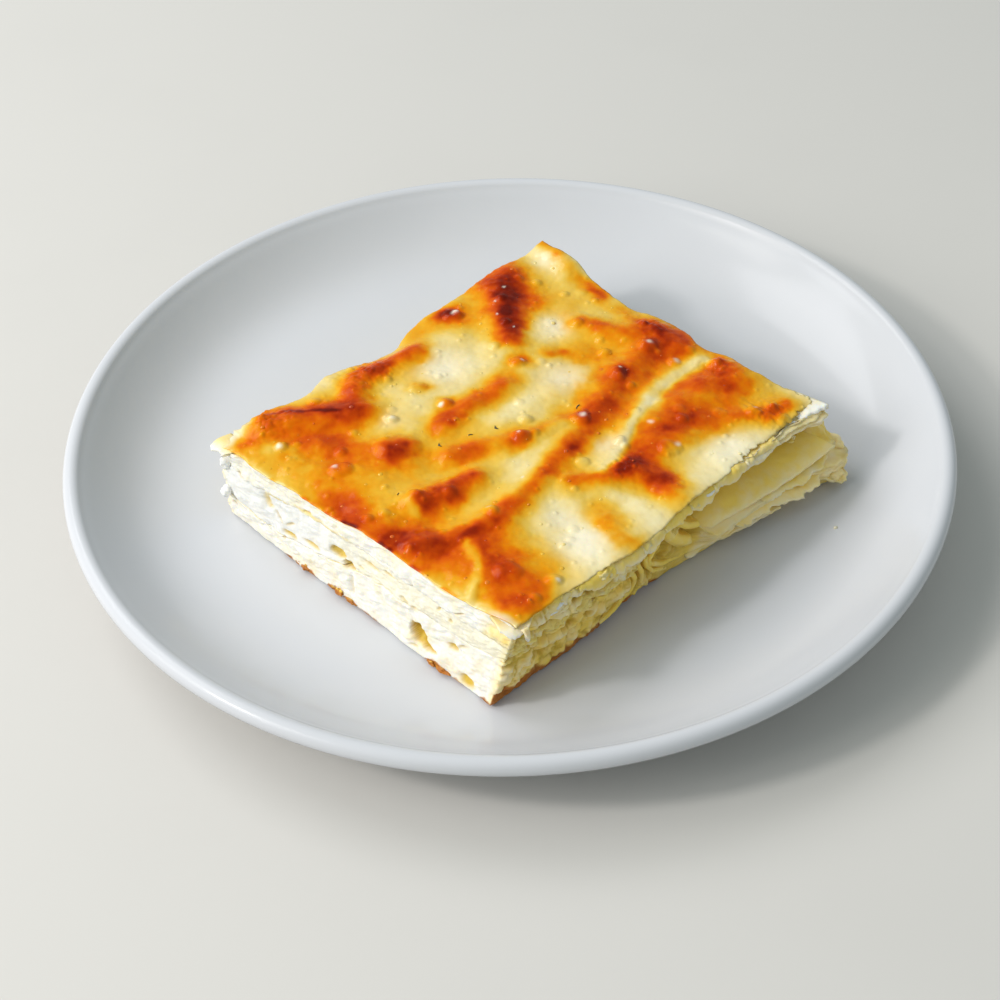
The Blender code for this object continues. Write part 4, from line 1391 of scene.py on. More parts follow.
# The darkest places in the washes.
BROWN_CORES = [
    ([(-50, 37.5), (-46, 34), (-41, 30), (-36, 27)], 3.4, 0.34),
    ([(-47, 35.5), (-41, 30), (-34, 23.5)], 0.7, 0.55),
    ([(-46, 19), (-43, 14)], 4.0, 0.42),
    ([(-57.5, 31.5)], 2.6, 0.60),
    ([(-34, 3)], 5.4, 0.92),
    ([(-32, 21), (-27, 27), (-23, 31), (-18, 31)], 3.8, 0.60),
    ([(-18, 30), (-12, 28.6), (-6, 28.3)], 2.4, 0.56),
    ([(-48.5, 7.5)], 3.0, 0.28),
    ([(-54, -2), (-58, -8)], 3.4, 0.32),
    ([(-59, -6), (-58, -16)], 2.2, 0.28),
    ([(-41, 10)], 3.6, 0.36),
    ([(35, 37), (30, 31), (29, 27)], 6.2, 0.66),
    ([(32, 30), (26, 28), (21, 22)], 3.2, 0.84),
    ([(20, 21), (17, 17), (15, 13)], 3.0, 0.94),
    ([(35, 31)], 3.0, 0.50),
    ([(12.6, 32)], 3.4, 1.0),
    ([(-19, 1), (-16, 1.8)], 3.0, 0.66),
    ([(-12, 2.6), (0, 2.8)], 2.6, 0.48),
    ([(-13.4, 7)], 2.3, 0.66),
    ([(10, 6)], 2.6, 0.62),
    ([(-13.7, 16.8)], 2.0, 0.34),
    ([(33, 5), (34.5, -1)], 2.4, 0.34),
    ([(38, -5), (42, -9), (43, -16)], 3.4, 0.20),
    ([(44.5, -5), (45, -13)], 1.6, 0.36),
    ([(18, 2), (21, 0)], 2.0, 0.34),
    ([(-41, -15), (-37, -15.8), (-29, -17)], 3.7, 0.72),
    ([(-34, -16.5), (-29, -17.5)], 2.4, 0.50),
    ([(-23, -8.6), (-21, -9.5)], 2.8, 0.58),
    ([(-10.7, -15.2)], 2.9, 0.74),
    ([(4.5, -20)], 2.6, 0.30),
    ([(-44, -29), (-38, -30), (-30, -30.5)], 2.6, 0.34),
    ([(-30, -30.5), (-16, -28), (-6, -25.6)], 2.6, 0.36),
    ([(-6, -25.6), (4, -22), (12, -18.8)], 3.0, 0.36),
    ([(14, -17.6), (24, -16), (36, -15)], 3.8, 0.26),
    ([(-14, -27.6)], 2.2, 0.50),
    ([(24, -15.2)], 3.0, 0.74),
    ([(37, -17), (42, -20)], 3.2, 0.34),
    ([(-54, -20), (-51, -25)], 5.2, 0.32),
    ([(-51, -21.5), (-50, -25)], 2.6, 0.28),
    ([(-55, -16), (-57, -28)], 2.8, 0.26),
    ([(-51, -51), (-50, -53)], 5.4, 0.56),
    ([(-45.5, -43.5)], 4.2, 0.48),
    ([(-44, -36), (-46, -40)], 3.4, 0.32),
    ([(-42, -53)], 3.0, 0.34),
    ([(-13.5, -34.5), (-10, -37.5), (-5, -41)], 2.4, 0.42),
    ([(-2, -40), (5, -39)], 3.2, 0.38),
    ([(1, -42), (2, -48)], 4.0, 0.50),
    ([(1, -49), (-1, -57)], 3.4, 0.50),
    ([(18, -38.5), (23, -39)], 3.4, 0.46),
    ([(14, -37), (26, -33)], 4.0, 0.24),
    ([(34, -30), (40, -30)], 3.4, 0.36),
    ([(40, -37), (41, -39)], 3.6, 0.46),
    ([(27, -42), (34, -43)], 3.0, 0.30),
    ([(10, -41)], 2.4, 0.30),
    ([(-18.5, -50), (-20, -56)], 2.4, 0.26),
    ([(32, -46), (37, -49)], 2.2, 0.36),
    ([(36, -51), (43, -52)], 2.2, 0.74),
    ([(46, -30), (45.5, -33)], 1.8, 0.56),
    ([(45.4, 17), (45.2, 11)], 1.8, 0.44),
    ([(50.5, 36), (50, 30)], 1.6, 0.36),
]
# Raised lines and wet places that stayed pale.
PALE_LINES = [
    ([(-6, -37), (2, -34.5), (12, -30.5), (22, -26.5)], 1.9, 0.88),
    ([(22, -26.5), (32, -24), (42, -26)], 2.4, 0.74),
    ([(-6, -33), (6, -29)], 3.2, 0.55),
    ([(-45, -31), (-49, -38), (-55, -43.5)], 1.3, 0.50),
    ([(-61, 36.5), (-57, 37), (-53, 38)], 4.6, 0.95),
    ([(-54, 24.5)], 2.2, 0.45),
    ([(-30, -24), (-16, -22), (-2, -20)], 3.4, 0.60),
    ([(-62, -38), (-59, -48), (-57, -58)], 3.2, 0.7),
    ([(-40, -56), (-30, -58)], 4.0, 0.5),
    ([(-44, -12), (-46, -15)], 1.6, 0.5),
    ([(-33, -28.5)], 1.8, 0.35),
    ([(-2, -10), (14, -12)], 5.0, 0.55),
    ([(-28, -44), (-26, -54)], 5.0, 0.6),
    ([(14, -50), (24, -52)], 5.0, 0.5),
    ([(30, -26), (42, -26)], 1.5, 0.4),
]
# Colour of the crust by how far it browned, from wet pale dough to a burnt crest, as
# shades on a colour card.
CRUST_SHADES = [
    (0.00, (237, 225, 180)),
    (0.10, (230, 206, 134)),
    (0.22, (225, 187, 80)),
    (0.34, (225, 170, 42)),
    (0.46, (223, 148, 12)),
    (0.58, (219, 122, 0)),
    (0.72, (211, 95, 0)),
    (0.86, (190, 66, 0)),
    (1.00, (148, 36, 0)),
    (1.15, (98, 17, 2)),
]
MOST_BROWN = CRUST_SHADES[-1][0]
CRUST_THICKNESS = 1.1
CRUST_EDGE_THICKNESS = 0.55
# The crust's cut edge, turn by turn: distance in from the edge, distance down.
CRUST_EDGE_TURNS = [(0.0, 0.16), (0.1, 0.38), (0.5, CRUST_EDGE_THICKNESS)]
CRUST_COLUMNS, CRUST_ROWS = 300, 272
LIP_OUT = {"front": 0.2, "right": 0.6, "back": 0.8, "left": 0.3}
LIP_REACH, DROOP_REACH = 40, 70  # dying away within a fortieth, a seventieth of its width
CRUST_WIDTH = 104
# How far the crust's front edge drew back from the sheets under it: place, spread, distance.
CRUST_DRAWN_BACK = [(-50, 8, 0.6), (-30, 8, -0.7), (20, 8, -0.6), (38, 12, -2.0), (53, 7, -2.8)]
UNDER_CRUST_TURNS = (1.6, 3.2, 4.8, 6.2)  # turns of points under the crust, in from the cut
UNDER_CRUST_GAP = 0.9  # room between the crust and the sheets in the middle
UPPER_WALL_TURNS = 24
SMALL_BLISTERS = 190
# Where the crust tore: x, spread, y.
TORN_CORNERS = [(-60, 6, 36), (26, 7, -57), (46, 7, -56)]
# Milky wet places in the skin, partly pale wet skin and partly painted light: the small butter beads
# are painted glints, the broad patches painted sheen. x, y, radius, share.
MILKY_AND_GLINT_PLACES = [
    (-14.9, 7.6, 0.56, 0.77),
    (13.4, 31.8, 0.81, 0.77),
    (24.7, -15.2, 0.43, 0.77),
    (-10.6, -14.4, 0.37, 0.68),
    (-26.7, 12.4, 0.81, 0.59),
    (-52.8, 23.7, 0.81, 0.68),
    (-48.6, 9.4, 0.74, 0.59),
    (-33.7, -26.8, 0.62, 0.59),
    (5.0, -20.4, 0.81, 0.59),
    (37.2, -13.4, 0.81, 0.59),
    (38.0, -22.0, 0.81, 0.51),
    (44.2, -28.6, 0.74, 0.51),
    (10.6, 5.4, 0.37, 0.68),
    (-39.4, -54.2, 0.56, 0.68),
    (36.7, -48.0, 0.74, 0.51),
    (14.8, -33.6, 0.62, 0.51),
    (13.3, -43.4, 0.74, 0.51),
    (18.7, 16.2, 0.31, 0.77),
    (19.8, 23.0, 0.31, 0.77),
    (23.2, 27.5, 0.31, 0.77),
    (29.1, 29.4, 0.37, 0.68),
    (-20.4, -25.2, 0.5, 0.51),
    (-26.0, -50.0, 6.0, 0.6),
    (-24.0, -42.0, 4.0, 0.4),
    (14.6, -6.8, 6.0, 0.5),
    (-4.0, 18.5, 6.5, 0.5),
    (28.0, 10.0, 4.5, 0.5),
    (-28.0, 14.0, 3.0, 0.3),
    (46.0, 30.0, 4.0, 0.3),
    (-58.0, 37.0, 4.0, 0.6),
    (2.0, -31.0, 4.0, 0.4),
    (22.0, -53.0, 6.0, 0.4),
    (-56.0, -54.0, 3.6, 0.5),
    (-60.0, -48.0, 2.4, 0.4),
]
# Near-white colour that paints glints and sheen on the skin, partly its own milky tone.
MILKY_SKIN_AND_GLINT = (0.90, 0.855, 0.735, 1.0)
# Where the skin dried to scales and tiny blisters: x, y, radius, height of the scales.
SCALY_PLACES = [
    (38.0, -50.5, 5.0, 0.9),
    (-2.0, -39.0, 5.0, 0.7),
    (-48.0, 34.0, 6.0, 0.9),
    (-20.0, 31.0, 7.0, 0.7),
    (31.0, 33.0, 8.0, 0.3),
    (42.0, -31.0, 5.0, 0.6),
    (-40.0, -13.0, 4.0, 0.5),
    (44.0, -8.0, 5.0, 0.5),
]


def distance_to_line(x, y, points):
    """Shortest distance from each (x, y) to a line through points, or to a single point."""
    nearest = np.full(np.shape(x), np.inf)
    ends = points[1:] or points
    for (x0, y0), (x1, y1) in zip(points, ends):
        along_x, along_y = x1 - x0, y1 - y0
        length2 = along_x**2 + along_y**2 + 1e-9
        part = np.clip(((x - x0) * along_x + (y - y0) * along_y) / length2, 0.0, 1.0)
        gap = np.hypot(x - x0 - part * along_x, y - y0 - part * along_y)
        nearest = np.minimum(nearest, gap)
    return nearest


def squared_gap(x, y, x0, y0, radius):
    """Squared distance from a place, with the radius as 1."""
    return ((x - x0) ** 2 + (y - y0) ** 2) / radius**2


def dough_swell(x, y, wavelength, seed):
    """Soft unevenness of baked dough, between about -1 and 1."""
    draw = np.random.default_rng(seed)
    total = np.zeros(np.shape(x))
    for _ in range(7):
        direction = draw.normal(size=3)
        direction /= np.linalg.norm(direction)
        turn = 2 * math.pi / (wavelength * draw.uniform(0.7, 1.5))
        phase = draw.uniform(0, 2 * math.pi)
        total += np.sin(turn * (direction[0] * x + direction[1] * y) + phase)
    return total / 3.2


def crust_height(x, y):
    """Top of the crust: hollows, folds, blisters and a slight fall to the right."""
    rise = np.zeros(np.shape(x))
    for points, half_width, crest in CRUST_FOLDS.values():
        bump = crest * hump(distance_to_line(x, y, points), 0, half_width)
        rise = np.maximum(rise, bump) + 0.25 * np.minimum(rise, bump)
    for x0, y0, radius, crest in CRUST_BLISTERS:
        gap2 = squared_gap(x, y, x0, y0, radius)
        gap2 = gap2 * (1 + 0.45 * one_cloud(x + 5 * radius, y, 0.9 * radius + 0.6, 58))
        dome = crest * np.clip(1 - gap2, 0, None) ** 1.2
        rise += dome - (0.4 * crest * np.exp(-7 * gap2) if radius > 2.8 else 0.0)
    swell = 0.35 * dough_swell(x, y, 22.0, 3) + 0.16 * dough_swell(x, y, 8.0, 4)
    back_sag = 1.4 * hump(x, -9, 12) * smooth_step(y, 22, 34)
    return CRUST_HEIGHT + rise + swell - back_sag - crust_fall(x)


def under_crust(x, y):
    return crust_height(x, y) - CRUST_THICKNESS


def wash(x, y, strokes):
    """Depth of several strokes laid over each other, 0 to 1."""
    left = np.ones(np.shape(x))
    for number, (points, half_width, depth) in enumerate(strokes):
        gap = distance_to_line(x, y, points)
        gap = gap * (1 + 0.3 * one_cloud(x + 41 * number, y, 1.6 * half_width + 2, 6))
        left *= 1 - depth * np.exp(-0.8 * (gap / half_width) ** 2.4)
    return 1 - left


def browning(x, y):
    """How far the crust browned: 0 is pale wet dough and 1.15 is burnt."""
    shifted_x = x + 2.4 * clouds(x, y, 12.0, 4, 1) + 0.6 * clouds(x, y, 2.6, 2, 3)
    shifted_y = y + 2.4 * clouds(x, y, 12.0, 4, 2) + 0.6 * clouds(x, y, 2.6, 2, 4)
    soft = wash(shifted_x, shifted_y, BROWN_WASHES)
    core = wash(shifted_x, shifted_y, BROWN_CORES)
    depth = 0.84 * soft + 0.54 * core * (1 - 0.12 * soft)
    depth *= 1 + 0.16 * clouds(x + 40, y, 8.0, 4, 3)
    depth += 0.05 * clouds(x, y + 60, 3.4, 3, 4) * smooth_step(depth, 0.1, 0.5)
    depth += 0.03 * smooth_step(depth, 0.46, 0.72)
    depth += 0.10 * clouds(x + 90, y, 1.9, 3, 57) * smooth_step(depth, 0.2, 0.5)
    depth += 0.07 * clouds(x, y + 30, 4.4, 2, 59) * smooth_step(depth, 0.3, 0.6)
    for stroke in PALE_LINES:
        depth *= 1 - wash(shifted_x, shifted_y, [stroke])
    return np.clip(depth + 0.04 + 0.05 * clouds(x, y, 11.0, 3, 4), 0, MOST_BROWN)


def small_blisters(x, y):
    """Rise and dome share of the skin's little bubbles, one to three millimetres across."""
    draw = np.random.default_rng(12)
    rise, dome = np.zeros(np.shape(x)), np.zeros(np.shape(x))
    for _ in range(SMALL_BLISTERS):
        x0, y0 = draw.uniform(-60, 50), draw.uniform(-57, 36)
        radius = 0.6 + 1.5 * draw.uniform(0, 1) ** 5
        crest = 0.42 * radius * draw.uniform(0.4, 1.1)
        near = (np.abs(x - x0) < radius) & (np.abs(y - y0) < radius)
        part = np.clip(1 - squared_gap(x[near], y[near], x0, y0, radius), 0, None)
        rise[near] = np.maximum(rise[near], crest * part)
        dome[near] = np.maximum(dome[near], part)
    return rise, dome


def blister_domes(x, y):
    """How far each point is up one of the named blisters, 0 to 1."""
    dome = np.zeros(np.shape(x))
    for x0, y0, radius, _ in CRUST_BLISTERS:
        dome = np.maximum(dome, 1 - squared_gap(x, y, x0, y0, radius))
    return dome


def milky_skin_and_glints(x, y, brown):
    """How milky each point of the skin is, 0 to 1: small places are painted glints, broad patches
    painted sheen that stays off the brown.
    """
    unbrowned = 1 - smooth_step(brown, 0.16, 0.42)
    x = x + 0.5 * clouds(x, y, 2.4, 2, 55)
    y = y + 0.5 * clouds(x, y, 2.4, 2, 56)
    milky_and_glint = np.zeros(np.shape(x))
    for x0, y0, radius, share in MILKY_AND_GLINT_PLACES:
        gap2 = squared_gap(x, y, x0, y0, radius)
        if radius < 2:
            place = share * np.exp(-(gap2**1.5))
        else:
            place = share * np.exp(-gap2) * unbrowned
        milky_and_glint = np.maximum(milky_and_glint, place)
    return milky_and_glint


def crust_skin(x, y):
    """The crust with its small blisters, fine wrinkles and the scaly places."""
    fine = 0.14 * clouds(x, y, 4.2, 3, 51) + 0.08 * clouds(x, y, 1.3, 2, 52)
    for x0, y0, radius, roughness in SCALY_PLACES:
        near = np.exp(-squared_gap(x, y, x0, y0, radius))
        fine = fine + roughness * near * np.abs(clouds(x, y, 1.5, 2, 53))
    return crust_height(x, y) + fine + small_blisters(x, y)[0]


def card_colour(shade):
    """A colour card's shade as linear light, with full opacity."""
    part = np.array(shade) / 255
    linear = np.where(part <= 0.04045, part / 12.92, ((part + 0.055) / 1.055) ** 2.4)
    return (*linear, 1.0)


def baked_crust(name, gloss):
    """Egg-washed crust: colour by browning, buttery sheen from the coat with painted glints and sheen
    in its colour, fine wrinkled skin.
    """
    material, tree, shader, place = new_material(name)
    grain = grain_of(tree, place, 1.4)
    mottle = grain["Mottle"]
    drift = calculate(tree, "MULTIPLY_ADD", mottle, 0.16, -0.08)
    depth = calculate(tree, "ADD", mark_of(tree, "browning"), drift)
    ramp = new_node(tree, "ShaderNodeValToRGB", {0: calculate(tree, "DIVIDE", depth, MOST_BROWN)})
    stops = ramp.color_ramp.elements
    for number, (at, shade) in enumerate(CRUST_SHADES):
        stop = stops[number] if number < 2 else stops.new(at / MOST_BROWN)
        stop.position = at / MOST_BROWN
        stop.color = card_colour(shade)
    milky_and_glint, wet = mark_of(tree, "milky_and_glint"), mark_of(tree, "wet")
    dry = calculate(tree, "SUBTRACT", rescale(tree, depth, 0.1, 0.6, 0.16, 0.28), 0.1)
    rough = calculate(tree, "MULTIPLY_ADD", mottle, 0.2, dry)
    dulled = calculate(tree, "MULTIPLY_ADD", wet, -0.5, 1 - gloss)
    butter = rescale(tree, depth, 0.1, 0.6, 0.34, 0.03 + 0.9 * gloss)
    butter = calculate(tree, "MULTIPLY_ADD", wet, 0.06, butter)
    finish = {
        "Base Color": mix_colours(tree, milky_and_glint, ramp.outputs[0], MILKY_SKIN_AND_GLINT),
        "Roughness": calculate(tree, "MULTIPLY", rough, dulled),
        "Coat Weight": calculate(tree, "MULTIPLY_ADD", milky_and_glint, 0.6, butter),
        "Coat Roughness": 0.1,
        "Specular IOR Level": 0.08,
        "Normal": fine_relief(tree, grain["Height"], 0.25, 0.2),
        **moist_body(0.08, (1.0, 0.6, 0.25), 1.2, 1.45),
    }
    feed(tree, shader, finish)
    return material


crust_finish = baked_crust("baked crust", 0.0)


def make_upper_sheets():
    x, y = plan(walk.u, walk.v, 1.0)
    low = cheese_top(x, y) + 0.6 * cheese_wander(walk, 92) + SHEET_GAP
    high = crust_height(x, y) - CRUST_EDGE_THICKNESS - 0.2
    share = np.linspace(0, 1, UPPER_WALL_TURNS)[:, None]
    z = low + (high - low) * share
    out, painted_shade = cut_surface(walk, z, 1.0, 41)
    corner = CRUST_CORNERS["right"]
    tip = np.exp(-(((x - corner[0]) / 7) ** 2) - ((y - corner[1]) / 7) ** 2)
    out = out + 1.6 * tip * (1 - share)
    under_lip = smooth_step(share, 0.75, 1.0) * (1 - walk.share["left"])
    out = out - 0.9 * under_lip
    out = out - 2.8 * walk.flap() * (1 - smooth_step(z, 26.4, 27.6))
    pale = paleness_and_painted_light(walk, z, y, out) + 0.45 * walk.share["front"] * smooth_step(x, 4, 28)
    rings = [walk.ring(heights, pushed) for heights, pushed in zip(z, out)]

    def bottom(x, y):
        return cheese_top(x, y) + SHEET_GAP

    def top(x, y):
        return under_crust(x, y) - UNDER_CRUST_GAP

    rings += [walk.inset(distance, top, 1.0) for distance in UNDER_CRUST_TURNS]
    points, faces = close_skin(rings, (CHEESE_LEVEL, bottom), (1.0, top, UNDER_CRUST_INSET))
    marks = {"painted_shade": painted_shade.ravel(), "pale": pale.ravel()}
    return add_piece("upper_sheets", points, faces, dough, marks)


upper_sheets = make_upper_sheets()
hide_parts("upper_pastry")


def make_crust():
    edge_walk = Walk(CRUST_COLUMNS, CRUST_ROWS)
    u, v = np.meshgrid(np.linspace(0, 1, CRUST_COLUMNS + 1), np.linspace(0, 1, CRUST_ROWS + 1))
    x, y = plan(u, v, 1.0)
    torn = sum(np.exp(-(((x - a) / b) ** 2) - ((y - c) / b) ** 2) for a, b, c in TORN_CORNERS)
    ragged = (0.6 + 1.0 * torn) * clouds(x, y, 4.6 - 1.4 * torn, 3, 61) - 0.5 * torn
    tears = 0.5 * np.abs(clouds(x, 0.0, 2.0, 3, 62)) * smooth_step(x, -52, -40)
    front_lip = LIP_OUT["front"] + stray(CRUST_DRAWN_BACK, x) + ragged - tears
    y = y - front_lip * (1 - v) ** LIP_REACH
    y = y + (LIP_OUT["back"] + ragged) * v**LIP_REACH
    x = x - (LIP_OUT["left"] + 0.5 * ragged) * (1 - u) ** LIP_REACH
    x = x + (LIP_OUT["right"] + ragged) * u**LIP_REACH
    rounding = 1.1 * np.exp(-squared_gap(x, y, *CRUST_CORNERS["front"], 2.4))
    x, y = x + rounding, y + rounding
    droop = (1 - v) ** DROOP_REACH + 0.6 * v**DROOP_REACH
    droop = droop + 0.6 * u**DROOP_REACH + 0.3 * (1 - u) ** DROOP_REACH
    z = crust_skin(x, y) - 0.5 * np.clip(droop, 0, 1)
    dome = small_blisters(x, y)[1]
    wet = np.maximum(dome, blister_domes(x, y))
    brown = browning(x, y) * (1 - 0.12 * dome)
    milky_and_glint = milky_skin_and_glints(x, y, brown)
    rim = hump(u * CRUST_WIDTH, 0, 0.6)
    specks = smooth_step(clouds(0.0, y, 5.0, 4, 66), -0.1, 0.5)
    brown = np.clip(brown + rim * (0.5 * specks - 0.15), 0, MOST_BROWN).ravel()
    points = list(np.stack([x, y, z], -1).reshape(-1, 3))
    faces, upper = net_of(CRUST_COLUMNS, CRUST_ROWS, 0)
    top_edge, edge_brown = np.array(points)[upper], brown[upper]
    turns, browned = [], [brown]
    for inward, drop in CRUST_EDGE_TURNS:
        turn = top_edge.copy()
        turn[:, :2] -= edge_walk.out * inward
        turn[:, 2] -= drop
        turns.append(turn)
        # Each turn of the cut edge fades from the top's browning, but keeps at least a pale yellow
        # that paints the warm light glowing through the thin crust in shade.
        browned.append(np.maximum(edge_brown * (1 - 0.7 * drop / CRUST_EDGE_THICKNESS), 0.14))
    turns += [edge_walk.inset(distance, under_crust, 1.0) for distance in UNDER_CRUST_TURNS]
    for turn in turns:
        lower = range(len(points), len(points) + edge_walk.count)
        points.extend(turn)
        faces += band_faces(lower, upper)
        upper = lower
    inset = UNDER_CRUST_INSET
    faces += coarse_cap(edge_walk, points, upper[0], False, 1.0, under_crust, inset)
    marks = {"browning": np.concatenate(browned), "wet": wet.ravel(), "milky_and_glint": milky_and_glint.ravel()}
    return add_piece("baked_crust", points, faces, crust_finish, marks)


crust = make_crust()
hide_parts("upper_pastry")

# ---------------------------------------------------------------- bubbles, flecks and crumbs
# Butter fried hundreds of tiny bubbles into the skin of the crust; they glint. A few dried
# herb flecks fell on it, and crumbs of curd hang at the cut and lie on the plate.

BUBBLE_COUNT = 360
BUBBLE_SINK = 0.16
BUBBLE_FLATNESS = 0.36
HERB_FLECKS = [
    (-25.5, -2.5, 1.5, 70),
    (-17.8, -5.1, 1.1, -35),
    (-11.9, -7.9, 1.5, 80),
    (7.4, -16.6, 1.3, 5),
    (-44.6, -8.4, 0.8, 20),
]
FLECK_STEPS = 5
FLECK_THICKNESS = 0.12
HERB_GREEN = (0.035, 0.03, 0.012, 1.0)
HERB_STRAW = (0.10, 0.08, 0.03, 1.0)
# Crumbs: name, middle, half sizes, roughness of the form, share of white curd; below zero
# it is a burnt bit of the lowest sheet.
CRUMBS = [
    ("curd_under_lip", (-42.5, -56.4, 28.4), (4.6, 1.8, 1.6), 0.5, 1.0),
    ("curd_in_cleft", (-23.6, -56.0, 22.4), (2.6, 1.9, 3.2), 0.45, 1.0),
    ("curd_in_cleft_low", (-27.0, -55.8, 25.2), (2.2, 1.5, 1.6), 0.5, 0.8),
    ("crumb_left_corner", (-61.6, 36.0, 17.0), (1.5, 1.4, 1.3), 0.5, 1.0),
    ("curd_left_corner", (-60.4, 35.6, 26.0), (1.6, 1.6, 2.2), 0.4, 1.0),
    ("tip_lump_a", (49.6, -63.8, 11.0), (2.0, 2.4, 1.7), 0.5, 0.1),
    ("tip_lump_b", (52.6, -63.2, 13.2), (1.6, 1.8, 1.7), 0.5, 0.1),
    ("tip_lump_c", (54.0, -59.8, 16.2), (1.8, 2.4, 2.2), 0.45, 0.1),
    ("burnt_bit_a", (-59.9, 11.8, 7.8), (0.5, 1.3, 0.5), 0.9, -1.0),
    ("burnt_bit_b", (-60.3, 9.0, 8.2), (0.6, 1.2, 0.8), 0.9, -1.0),
    ("burnt_bit_c", (-60.2, -0.6, 7.9), (0.6, 1.4, 0.6), 0.9, -1.0),
    ("burnt_bit_d", (-60.8, -3.4, 8.5), (0.6, 1.2, 0.9), 0.9, -1.0),
    ("burnt_bit_e", (-60.6, -7.2, 7.8), (0.5, 1.9, 0.5), 0.9, -1.0),
    ("burnt_bit_f", (-61.0, -35.0, 7.9), (0.5, 1.4, 0.6), 0.9, -1.0),
    ("burnt_bit_g", (-61.1, -38.6, 8.1), (0.5, 1.8, 0.5), 0.9, -1.0),
    ("plate_crumb_a", (66.0, -62.0, 7.1), (0.7, 0.5, 0.4), 0.5, 0.6),
    ("plate_crumb_b", (38.0, -74.0, 7.0), (0.5, 0.4, 0.35), 0.5, 0.5),
    ("plate_crumb_c", (76.2, -50.9, 7.0), (0.9, 0.6, 0.25), 0.5, 0.8),
]


def settle_bubbles(points, radii, brown, finish):
    """Sets a flattened ball on each point and realises them as one mesh."""
    mesh = bpy.data.meshes.new("butter bubbles")
    mesh.from_pydata(points, [], [])
    for name, values in (("radius", radii), ("browning", brown)):
        layer = mesh.attributes.new(name, "FLOAT", "POINT")
        layer.data.foreach_set("value", np.array(values, dtype=np.float32))
    inputs = {"Places": "Geometry", "Flatness": "Float", "Finish": "Material"}
    kind = "GeometryNodeTree"
    tree, given = new_group("settled bubbles", kind, inputs, {"Bubbles": "Geometry"})
    round_ball = {"Segments": 8, "Rings": 6, "Radius": 1.0}
    ball = new_node(tree, "GeometryNodeMeshUVSphere", round_ball).outputs["Mesh"]
    radius = new_node(tree, "GeometryNodeInputNamedAttribute", {"Name": "radius"}, data_type="FLOAT")
    wide = radius.outputs["Attribute"]
    high = calculate(tree, "MULTIPLY", wide, given["Flatness"])
    size = new_node(tree, "ShaderNodeCombineXYZ", {0: wide, 1: wide, 2: high}).outputs[0]
    placing = {"Points": given["Places"], "Instance": ball, "Scale": size}
    placed = new_node(tree, "GeometryNodeInstanceOnPoints", placing).outputs[0]
    end_form(tree, "Bubbles", placed, given["Finish"])
    sizes = {"Flatness": BUBBLE_FLATNESS, "Finish": finish}
    return settle_tree("butter_bubbles", mesh, tree, sizes)


def make_bubbles():
    draw = np.random.default_rng(77)
    x, y = draw.uniform(-59, 49, BUBBLE_COUNT), draw.uniform(-56, 35, BUBBLE_COUNT)
    crowd = one_cloud(x, y, 9.0, 78) > draw.uniform(-0.9, 0.7, BUBBLE_COUNT)
    x, y = x[crowd], y[crowd]
    inside = x < 47 + 0.04 * y - 2.6 * hump(y, 2, 16)
    x, y = x[inside], y[inside]
    radius = 0.2 + 0.5 * draw.uniform(0, 1, len(x)) ** 3
    z = crust_skin(x, y) - BUBBLE_SINK * radius
    points = [(a * MM, b * MM, c * MM) for a, b, c in zip(x, y, z)]
    brown = browning(x, y) * draw.uniform(0.75, 1.1, len(x))
    piece = settle_bubbles(points, radius * MM, brown, baked_crust("buttered blister", 0.75))
    piece.data.shade_smooth()
    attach(piece, "root")


def make_herb_flecks():
    material, tree, shader, place = new_material("dried herb")
    tone = mix_colours(tree, soft_noise(tree, place, 3000.0, 2.0), HERB_GREEN, HERB_STRAW)
    feed(tree, shader, {"Base Color": tone, "Roughness": 0.6})
    draw = np.random.default_rng(9)
    points, faces, rims = [], [], []
    for x0, y0, length, turn in HERB_FLECKS:
        along = np.array([math.cos(math.radians(turn)), math.sin(math.radians(turn))])
        across = np.array([-along[1], along[0]])
        net, border = net_of(2, FLECK_STEPS, len(points))
        faces += [face[:1] + face[:0:-1] for face in net]
        rims.append(border)
        for part in np.linspace(-0.5, 0.5, FLECK_STEPS + 1):
            width = 0.16 * length * (1.1 - abs(2 * part)) * draw.uniform(0.7, 1.3)
            bend = 0.12 * length * math.cos(5 * part)
            for side, lift in ((-1, 0.02), (0, 0.22), (1, 0.02)):
                spot = (x0, y0) + along * part * length + across * (side * width + bend)
                height = float(crust_skin(spot[:1], spot[1:])[0])
                points.append((spot[0], spot[1], height + lift + 0.05))
    count = len(points)
    points += [(x, y, z - FLECK_THICKNESS) for x, y, z in points]
    faces += [tuple(corner + count for corner in reversed(face)) for face in faces]
    for border in rims:
        faces += band_faces(border, [corner + count for corner in border])
    piece = add_piece("herb_flecks", points, faces, material, {})
    face_outwards(piece)


def make_crumb(name, middle, half_sizes, rough, white):
    """One irregular crumb: of curd where white, of dough where not, burnt below zero."""
    ball = bmesh.new()
    bmesh.ops.create_icosphere(ball, subdivisions=4 if max(half_sizes) > 1 else 3, radius=1.0)
    number = sum(ord(letter) for letter in name)
    points = []
    for vertex in ball.verts:
        spot = np.array(vertex.co)
        push = 0.0
        for size, share in ((1.1, 1.0), (0.5, 0.45), (0.22, 0.2)):
            away = Vector((number, 3 * size, 7))
            push += share * noise.noise(Vector(spot / size) + away)
        points.append(np.array(middle) + spot * np.array(half_sizes) * (1 + rough * push))
    faces = [tuple(vertex.index for vertex in face.verts) for face in ball.faces]
    ball.free()
    marks = {"painted_shade": np.zeros(len(points)), "milky_and_glint": np.full(len(points), white)}
    if white < 0.5:
        marks = {"painted_shade": np.zeros(len(points)), "pale": np.full(len(points), 0.25 + white)}
    if white < 0:
        height = np.array([point[2] for point in points])
        marks["scorch"] = smooth_step(middle[2] + 0.9 - height, -0.3, 0.5)
    finish = cheese_finish if white >= 0.5 else dough
    return add_piece(name, points, faces, finish, marks)


